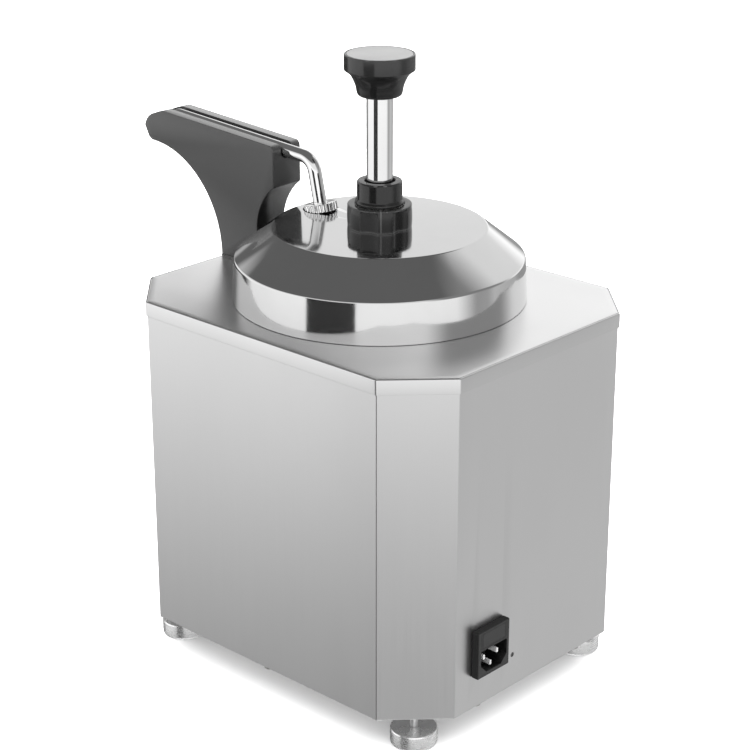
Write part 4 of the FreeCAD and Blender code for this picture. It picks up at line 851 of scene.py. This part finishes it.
def spout_shroud():
    """The satin black shroud that keeps the tube warm, with the tube's groove and nose slot."""
    rear, foot_rear, foot_front = -91.2, -109.4, -147.6
    bottom, top = shroud_low.z, 367.9
    rear_centre, rear_r = Vector((-64.0, 301.0)), 45.4
    front_centre, front_r = Vector((-221.8, bottom)), 74.2
    outline = arc(front_centre, front_r, 0.0, 90.0, 30)
    outline += [Vector((-225.0, 351.8)), Vector((-229.3, 360.3))]
    outline += through((-229.3, 360.3), (-226.4, 366.0), (-218.2, 371.0), 8)[1:]
    outline += through((-218.2, 371.0), (-212.8, 373.1), (-207.0, 374.3), 5)[1:]
    outline += through((rear - 4.0, top + 4.0 * GROOVE_RISE), (rear - 1.2, top - 1.1),
                       (rear, top - 4.0), 7)
    kink = math.acos((rear - rear_centre.x) / rear_r)
    outline += arc(rear_centre, rear_r, math.degrees(kink), 180.0, 14)
    outline.append(Vector((foot_rear, bottom)))
    half = shroud_high.x
    obj = raw_object("spout_cowl", prism(outline, -half, half))
    bevel(obj, 0.6, 3, 40.0)
    start, end, back = rear + 20.0, TIP.x - GROOVE_R, TIP.x + GROOVE_R
    high = groove_z(end)
    slot_back = back + (high - TIP.y) * math.tan(math.radians(20.0))
    above = prism([(start, groove_z(start)), (end, high), (end, 400.0), (start, 400.0)],
                  -GROOVE_R, GROOVE_R)
    slot = prism([(end, 330.0), (back, 330.0), (back, TIP.y), (slot_back, high),
                  (slot_back, 400.0), (end, 400.0)], -GROOVE_R, GROOVE_R)
    run = [Vector((0.0, y, groove_z(y))) for y in (start, slot_back - 3.0)]
    carve(obj, above, swept(run, GROOVE_R, 48), slot)
    bevel(obj, 0.5, 2, 50.0)
    carve(obj, block((2.0 - half, half - 2.0), (foot_front + 2.0, foot_rear - 2.0), (bottom - 1.0, bottom + 30.0)))
    finish_piece(obj, "cabinet", ["spout_shroud"], "shroud_coat", 35.0)


# ---------------------------------------------------------------- inlet, controls and feet

def power_inlet():
    """The black inlet: bevelled frame, keyed recess with three blades, and the fuse drawer."""
    middle, size = (inlet_low + inlet_high) / 2.0, (inlet_high - inlet_low) / 2.0
    x, z, face = middle.x, middle.z, inlet_high.y
    wall = span("rear_panel")[1].y
    bezel = raw_object("inlet_frame", centred(x, z, size.x, size.z, (wall, face)))
    bevel(bezel, 1.0, 3)
    body = raw_object("inlet_body", centred(x, z, 14.6, 16.7, (inlet_low.y, wall + 1.0)))
    bevel(body, 0.8, 3)
    unite(bezel, body)
    half, low, high, cut = 13.6, 54.4, 71.8, 6.0
    recess = rounded([(x - half, high), (x + half, high), (x + half, low + cut),
                      (x + half - cut, low), (x - half + cut, low), (x - half, low + cut)],
                     [1.2, 1.2, 1.0, 1.0, 1.0, 1.0])
    drawer_low, drawer_high = span("fuse_drawer")
    tray, at = (drawer_high - drawer_low) / 2.0, (drawer_low.z + drawer_high.z) / 2.0
    pocket = centred(x, at, tray.x + 0.06, tray.z + 0.06, (drawer_low.y - 0.2, face + 4.0))
    carve(bezel, prism(recess, face - 16.0, face + 4.0, "y"), pocket)
    finish_piece(bezel, "cabinet", ["inlet_housing"], "inlet_black", 40.0, True)
    drawer = raw_object("fuse_tray", centred(x, at, tray.x, tray.z, (drawer_low.y, face)))
    bevel(drawer, 0.1, 2)
    carve(drawer, *[laid(plug(2.62, -1.0, 20.2, 32), x + side, drawer_low.y, at, -1.0)
                    for side in (-5.6, 5.6)])
    finish_piece(drawer, "drawer", ["fuse_drawer"], "inlet_black", 40.0, True)
    pins_low, pins_high = span("inlet_pins")
    blades = [centred(x + side, level, 0.9, 1.8, (pins_low.y, pins_high.y))
              for side, level in ((-7.0, 64.2), (7.0, 64.2), (0.0, 57.4))]
    piece("inlet_blades", joined(*blades), "cabinet", ["inlet_pins"], "blade_metal", 40.0, True,
          (0.45, 3))


def levelling_foot(corner):
    """A solid turned foot with a softened sole and a bright top edge, on its stud."""
    foot_low, foot_high = span("foot_" + corner)
    spin = Matrix.Translation(((foot_low.x + foot_high.x) / 2.0, (foot_low.y + foot_high.y) / 2.0, 0.0))
    low, high = (end.z for end in span("foot_rear_left"))
    skin = rounded([(0.0, low), (16.4, low), (16.4, high - 1.0), (16.05, high - 0.15), (15.6, high), (3.6, high),
                    (3.3, high - 0.4), (2.82, high - 0.4), (2.82, 4.0), (0.0, 4.0)],
                   [0.0, 2.3, 0.3, 0.1, 0.2, 0.2, 0.0, 0.0, 0.0, 0.0], steps=7)
    piece("foot_pad_" + corner, moved(turned(skin, 144, closed=True), spin), "levelling_" + corner,
          ["foot_" + corner], "foot_steel")
    low, high = (end.z for end in span("stud_rear_left"))
    outline = [(0.0, low), (STUD_R, low), (STUD_R, 24.0)]
    root, pitch = 2.45, 0.9
    for i in range(int((high - 0.8 - 24.0) / pitch)):
        z = 24.0 + pitch * i
        outline += [(STUD_R, z + 0.1 * pitch), (root, z + 0.5 * pitch), (STUD_R, z + 0.9 * pitch)]
    outline += [(STUD_R, high - 0.6), (2.2, high), (0.0, high)]
    piece("foot_screw_" + corner, moved(turned(outline, 64, closed=True), spin), "levelling_" + corner,
          ["stud_" + corner], "stud_steel", 25.0)


def thermostat_dial(face):
    """The fluted knob with its pointer, and the scale behind it."""
    low, high = span("thermostat_knob")
    x, z = (low.x + high.x) / 2.0, (low.z + high.z) / 2.0
    outer, depth = (high.x - low.x) / 2.0, face - low.y
    flutes = 18

    def ripple(turn, r, h):
        if h < 6.0 or h > depth - 2.6 or r < outer - 5.2:
            return r
        return r - 0.45 * (0.5 + 0.5 * math.cos(turn * flutes)) ** 3

    skirt = rounded([(0.0, 1.6), (outer, 1.6), (outer, 4.6), (outer - 3.4, 5.8), (outer - 4.5, depth - 2.0),
                     (0.0, depth - 2.0)], [0.0, 0.4, 0.8, 1.2, 1.2, 0.0], steps=5)
    piece("dial_grip", laid(turned(skirt, 216, closed=True, ripple=ripple), x, face, z),
          "thermostat_control", ["thermostat_knob"], "black_phenolic")
    piece("dial_bar", block((x - 3.2, x + 3.2), (face - depth, face - 5.0), (z - outer + 4.6, z + outer - 1.0)),
          "thermostat_control", [], "black_phenolic", flats=True, edge=(0.9, 3))
    piece("dial_pointer", block((x - 0.5, x + 0.5), (face - depth - 0.06, face - depth + 0.3),
                                (z + 3.0, z + outer - 2.2)),
          "thermostat_control", [], "white_marks", edge=(0.1, 1))
    ring = rounded([(5.0, 0.0), (outer + 7.0, 0.0), (outer + 7.0, 0.8), (5.0, 0.8)], [0.0, 0.0, 0.3, 0.0])
    piece("dial_scale", laid(turned(ring, 144, closed=True), x, face, z), "cabinet", ["dial_ring"],
          "aluminium")
    ticks = []
    for i in range(11):
        turn = Matrix.Rotation(math.radians(-30.0 * i), 4, "Y")
        tall = 3.4 if i % 2 == 0 else 2.0
        tick = block((-0.3, 0.3), (-0.86, -0.7), (outer + 1.2, outer + 1.2 + tall))
        ticks.append(moved(tick, Matrix.Translation((x, face, z)) @ turn))
    piece("dial_ticks", joined(*ticks), "cabinet", [], "black_phenolic")


def switch_and_lamp(face):
    """The framed rocker switch with its rear tags, and the domed pilot lamp."""
    middle, size = (switch_low + switch_high) / 2.0, (switch_high - switch_low) / 2.0
    x, z = middle.x, middle.z
    bezel = raw_object("switch_frame", centred(x, z, size.x, size.z, (switch_low.y, face)))
    bevel(bezel, 0.9, 3)
    unite(bezel, raw_object("switch_shell", centred(x, z, size.x - 1.75, size.z - 1.75,
                                                    (face - 1.0, face + 22.0))))
    carve(bezel, centred(x, z, 11.4, 7.9, (face - 5.0, face + 12.0)))
    bevel(bezel, 0.3, 2, 50.0)
    finish_piece(bezel, "cabinet", ["switch_housing"], "black_plastic", 40.0, True)
    tags = [centred(x + side, z, 3.0, 0.4, (face + 21.0, face + 31.0)) for side in (-7.0, 7.0)]
    piece("switch_tags", joined(*tags), "cabinet", [], "brass", edge=(0.15, 2))
    dished = [(2.0, -6.4), (-7.2, -6.4)]
    dished += [(-30.6 + math.sqrt(24.0 ** 2 - h * h), h) for h in (-6.4 + 12.8 * i / 12 for i in range(13))]
    dished += [(-7.2, 6.4), (2.0, 6.4)]
    place = Matrix.Translation((x, face + 4.0, z)) @ Matrix.Rotation(math.radians(8.0), 4, "X")
    piece("switch_paddle", moved(prism(dished, -11.1, 11.1), place), "rocker", ["switch_rocker"],
          "black_plastic", 30.0, edge=(0.5, 3, 35.0))

    lamp_low, lamp_high = span("pilot_lamp")
    lamp, tall = (lamp_low + lamp_high) / 2.0, face - lamp_low.y
    dome = rounded([(0.0, -22.0), (4.1, -22.0), (4.1, 0.0), (5.6, 0.0), (5.6, 1.7), (4.4, 2.0)],
                   [0.0, 0.5, 0.0, 0.0, 0.5, 0.0])
    dome += [Vector((4.4 * math.cos(t), 2.0 + (tall - 2.0) * math.sin(t)))
             for t in (math.radians(a) for a in range(10, 91, 10))]
    piece("lamp_lens", laid(turned(dome, 72, closed=True), lamp.x, face, lamp.z), "cabinet", ["pilot_lamp"],
          "red_lens")


top_plate()
cabinet_walls()
lid()
lock_nut()
rod_guide()
plunger()
pump_spring()
discharge_tube()
tube_fittings()
spout_shroud()
power_inlet()
for corner_name in ("front_left", "front_right", "rear_left", "rear_right"):
    levelling_foot(corner_name)
thermostat_dial(wall_low.y)
switch_and_lamp(wall_low.y)


# ---------------------------------------------------------------- studio and camera

def surround(scene):
    """The soft surround that polished parts reflect: bright sides, a dark ceiling, a dim ground."""
    world = bpy.data.worlds.new("studio_world")
    scene.world = world
    world.use_nodes = True
    tree = world.node_tree
    tree.nodes.clear()

    def math_node(operation, *values):
        return result(tree, "Math", dict(enumerate(values)), operation=operation)

    def between(source, low, high, out_low=0.0, out_high=1.0):
        return result(tree, "MapRange", {"Value": source, "From Min": low, "From Max": high,
                                         "To Min": out_low, "To Max": out_high})

    def blend(fac, a, b):
        return result(tree, "Mix", {"Factor": fac, "A": a, "B": b}, data_type="FLOAT")

    def ring(*stops):
        """A value for each compass direction, from (degrees from +X, value) stops."""
        made = add_node(tree, "ValToRGB", {"Fac": compass})
        ends = made.color_ramp.elements
        for end, (turn, level) in ((ends[0], stops[0]), (ends[1], stops[-1])):
            end.position, end.color = turn / 360.0 + 0.5, (*grey(level), 1.0)
        for turn, level in stops[1:-1]:
            ends.new(turn / 360.0 + 0.5).color = (*grey(level), 1.0)
        return made.outputs["Color"]

    coords = add_node(tree, "TexCoord", {})
    way = add_node(tree, "SeparateXYZ", {"Vector": coords.outputs["Generated"]}).outputs
    compass = between(math_node("ARCTAN2", way["Y"], way["X"]), -math.pi, math.pi)
    degrees = math_node("MULTIPLY", math_node("ARCSINE", way["Z"]), 180.0 / math.pi)

    near = ring((-180.0, 0.38), (-142.0, 0.38), (-134.0, 0.08), (-84.0, 0.08), (-74.0, 1.26), (-20.0, 1.28),
                (30.0, 1.26), (104.0, 1.22), (122.0, 0.42), (134.0, 0.45), (142.0, 0.66), (172.0, 0.56),
                (180.0, 0.38))
    far = ring((-180.0, 0.45), (-134.0, 0.12), (-86.0, 0.12), (-70.0, 0.31), (20.0, 0.33),
               (108.0, 0.38), (132.0, 0.62), (172.0, 0.58), (180.0, 0.48))
    ceiling = ring((-180.0, 0.46), (-150.0, 0.42), (-132.0, 0.36), (-125.0, 0.0), (-110.0, 0.02),
                   (-102.0, 0.18), (-95.0, 0.23), (-30.0, 0.26),
                   (60.0, 0.40), (110.0, 0.55), (140.0, 0.60), (165.0, 0.56), (180.0, 0.46))
    dusk = ring((-180.0, 1.0), (78.0, 1.0), (96.0, 0.3), (150.0, 0.3), (168.0, 1.0), (180.0, 1.0))
    below = blend(between(degrees, -36.0, -12.0), far, near)
    below = blend(between(degrees, -72.0, -48.0), 1.2, below)
    skyline = math_node("MULTIPLY", between(degrees, 6.0, 16.0, 1.35, 0.98), dusk)
    level = blend(between(degrees, -4.0, 4.0), below, skyline)
    over = math_node("SUBTRACT", degrees, math_node("MULTIPLY", ceiling, 100.0))
    radiance = blend(between(over, -4.0, 4.0), level, 0.155)

    rays = add_node(tree, "LightPath", {}).outputs
    reflected = result(tree, "Background", {"Color": radiance})
    fill = result(tree, "Background", {"Color": grey(0.8), "Strength": 3.2})
    white = result(tree, "Background", {"Color": grey(1.0)})
    soft = result(tree, "MixShader", {"Fac": rays["Is Diffuse Ray"], 1: reflected, 2: fill})
    seen = result(tree, "MixShader", {"Fac": rays["Is Camera Ray"], 1: soft, 2: white})
    add_node(tree, "OutputWorld", {"Surface": seen})


def floor_and_card():
    """The pale floor, and a dark card that only mirrors see."""
    floor = Shader("studio_floor", Metallic=0.0, Roughness=0.7)
    paper = floor.noise(40.0)
    floor.colour(floor.mix(paper, grey(0.90), grey(0.93)))
    floor.bump(paper, 0.05, 0.0005)
    ground = raw_object("studio_floor", turned([(0.0, 0.0), (4000.0, 0.0), (4000.0, -20.0), (0.0, -20.0)],
                                               96, closed=True))
    ground.data.shade_smooth()
    ground.data.set_sharp_from_angle(angle=0.5)
    ground.data.materials.append(floor.material)
    ground.visible_glossy = False
    card = Shader("dark_card", Metallic=0.0, Roughness=1.0)
    card.colour(card.mix(card.noise(300.0, 2.0), grey(0.01), grey(0.02)))
    flag = raw_object("dark_card", block((548.0, 550.0), (-90.0, 268.0), (-420.0, 380.0)))
    flag.data.materials.append(card.material)
    flag.visible_camera = flag.visible_diffuse = flag.visible_shadow = False


def staged(scene, data, place, aim):
    """A light or camera that looks from one place to another, in metres."""
    obj = bpy.data.objects.new(data.name, data)
    scene.collection.objects.link(obj)
    obj.location = place
    obj.rotation_euler = (Vector(aim) - Vector(place)).to_track_quat("-Z", "Y").to_euler()
    return obj


def studio():
    """A pale seamless floor, a soft overhead light, a gentle surround and the camera."""
    scene = bpy.context.scene
    scene.view_settings.view_transform = "Standard"
    scene.view_settings.look = "None"
    floor_and_card()
    surround(scene)
    lamp = bpy.data.lights.new("overhead", "AREA")
    lamp.shape = "RECTANGLE"
    lamp.size = lamp.size_y = 4.6
    lamp.energy = 90.0
    light = staged(scene, lamp, (0.0, 0.0, 2.6), (0.0, 0.0, 0.0))
    light.visible_glossy = light.visible_camera = False
    camera = bpy.data.cameras.new("view_camera")
    camera.lens = 99.14
    camera.sensor_width = 36.0
    camera.clip_start = 0.05
    scene.camera = staged(scene, camera, (1.01419, 0.97441, 0.75379), (-0.00993, 0.02456, 0.20695))


studio()
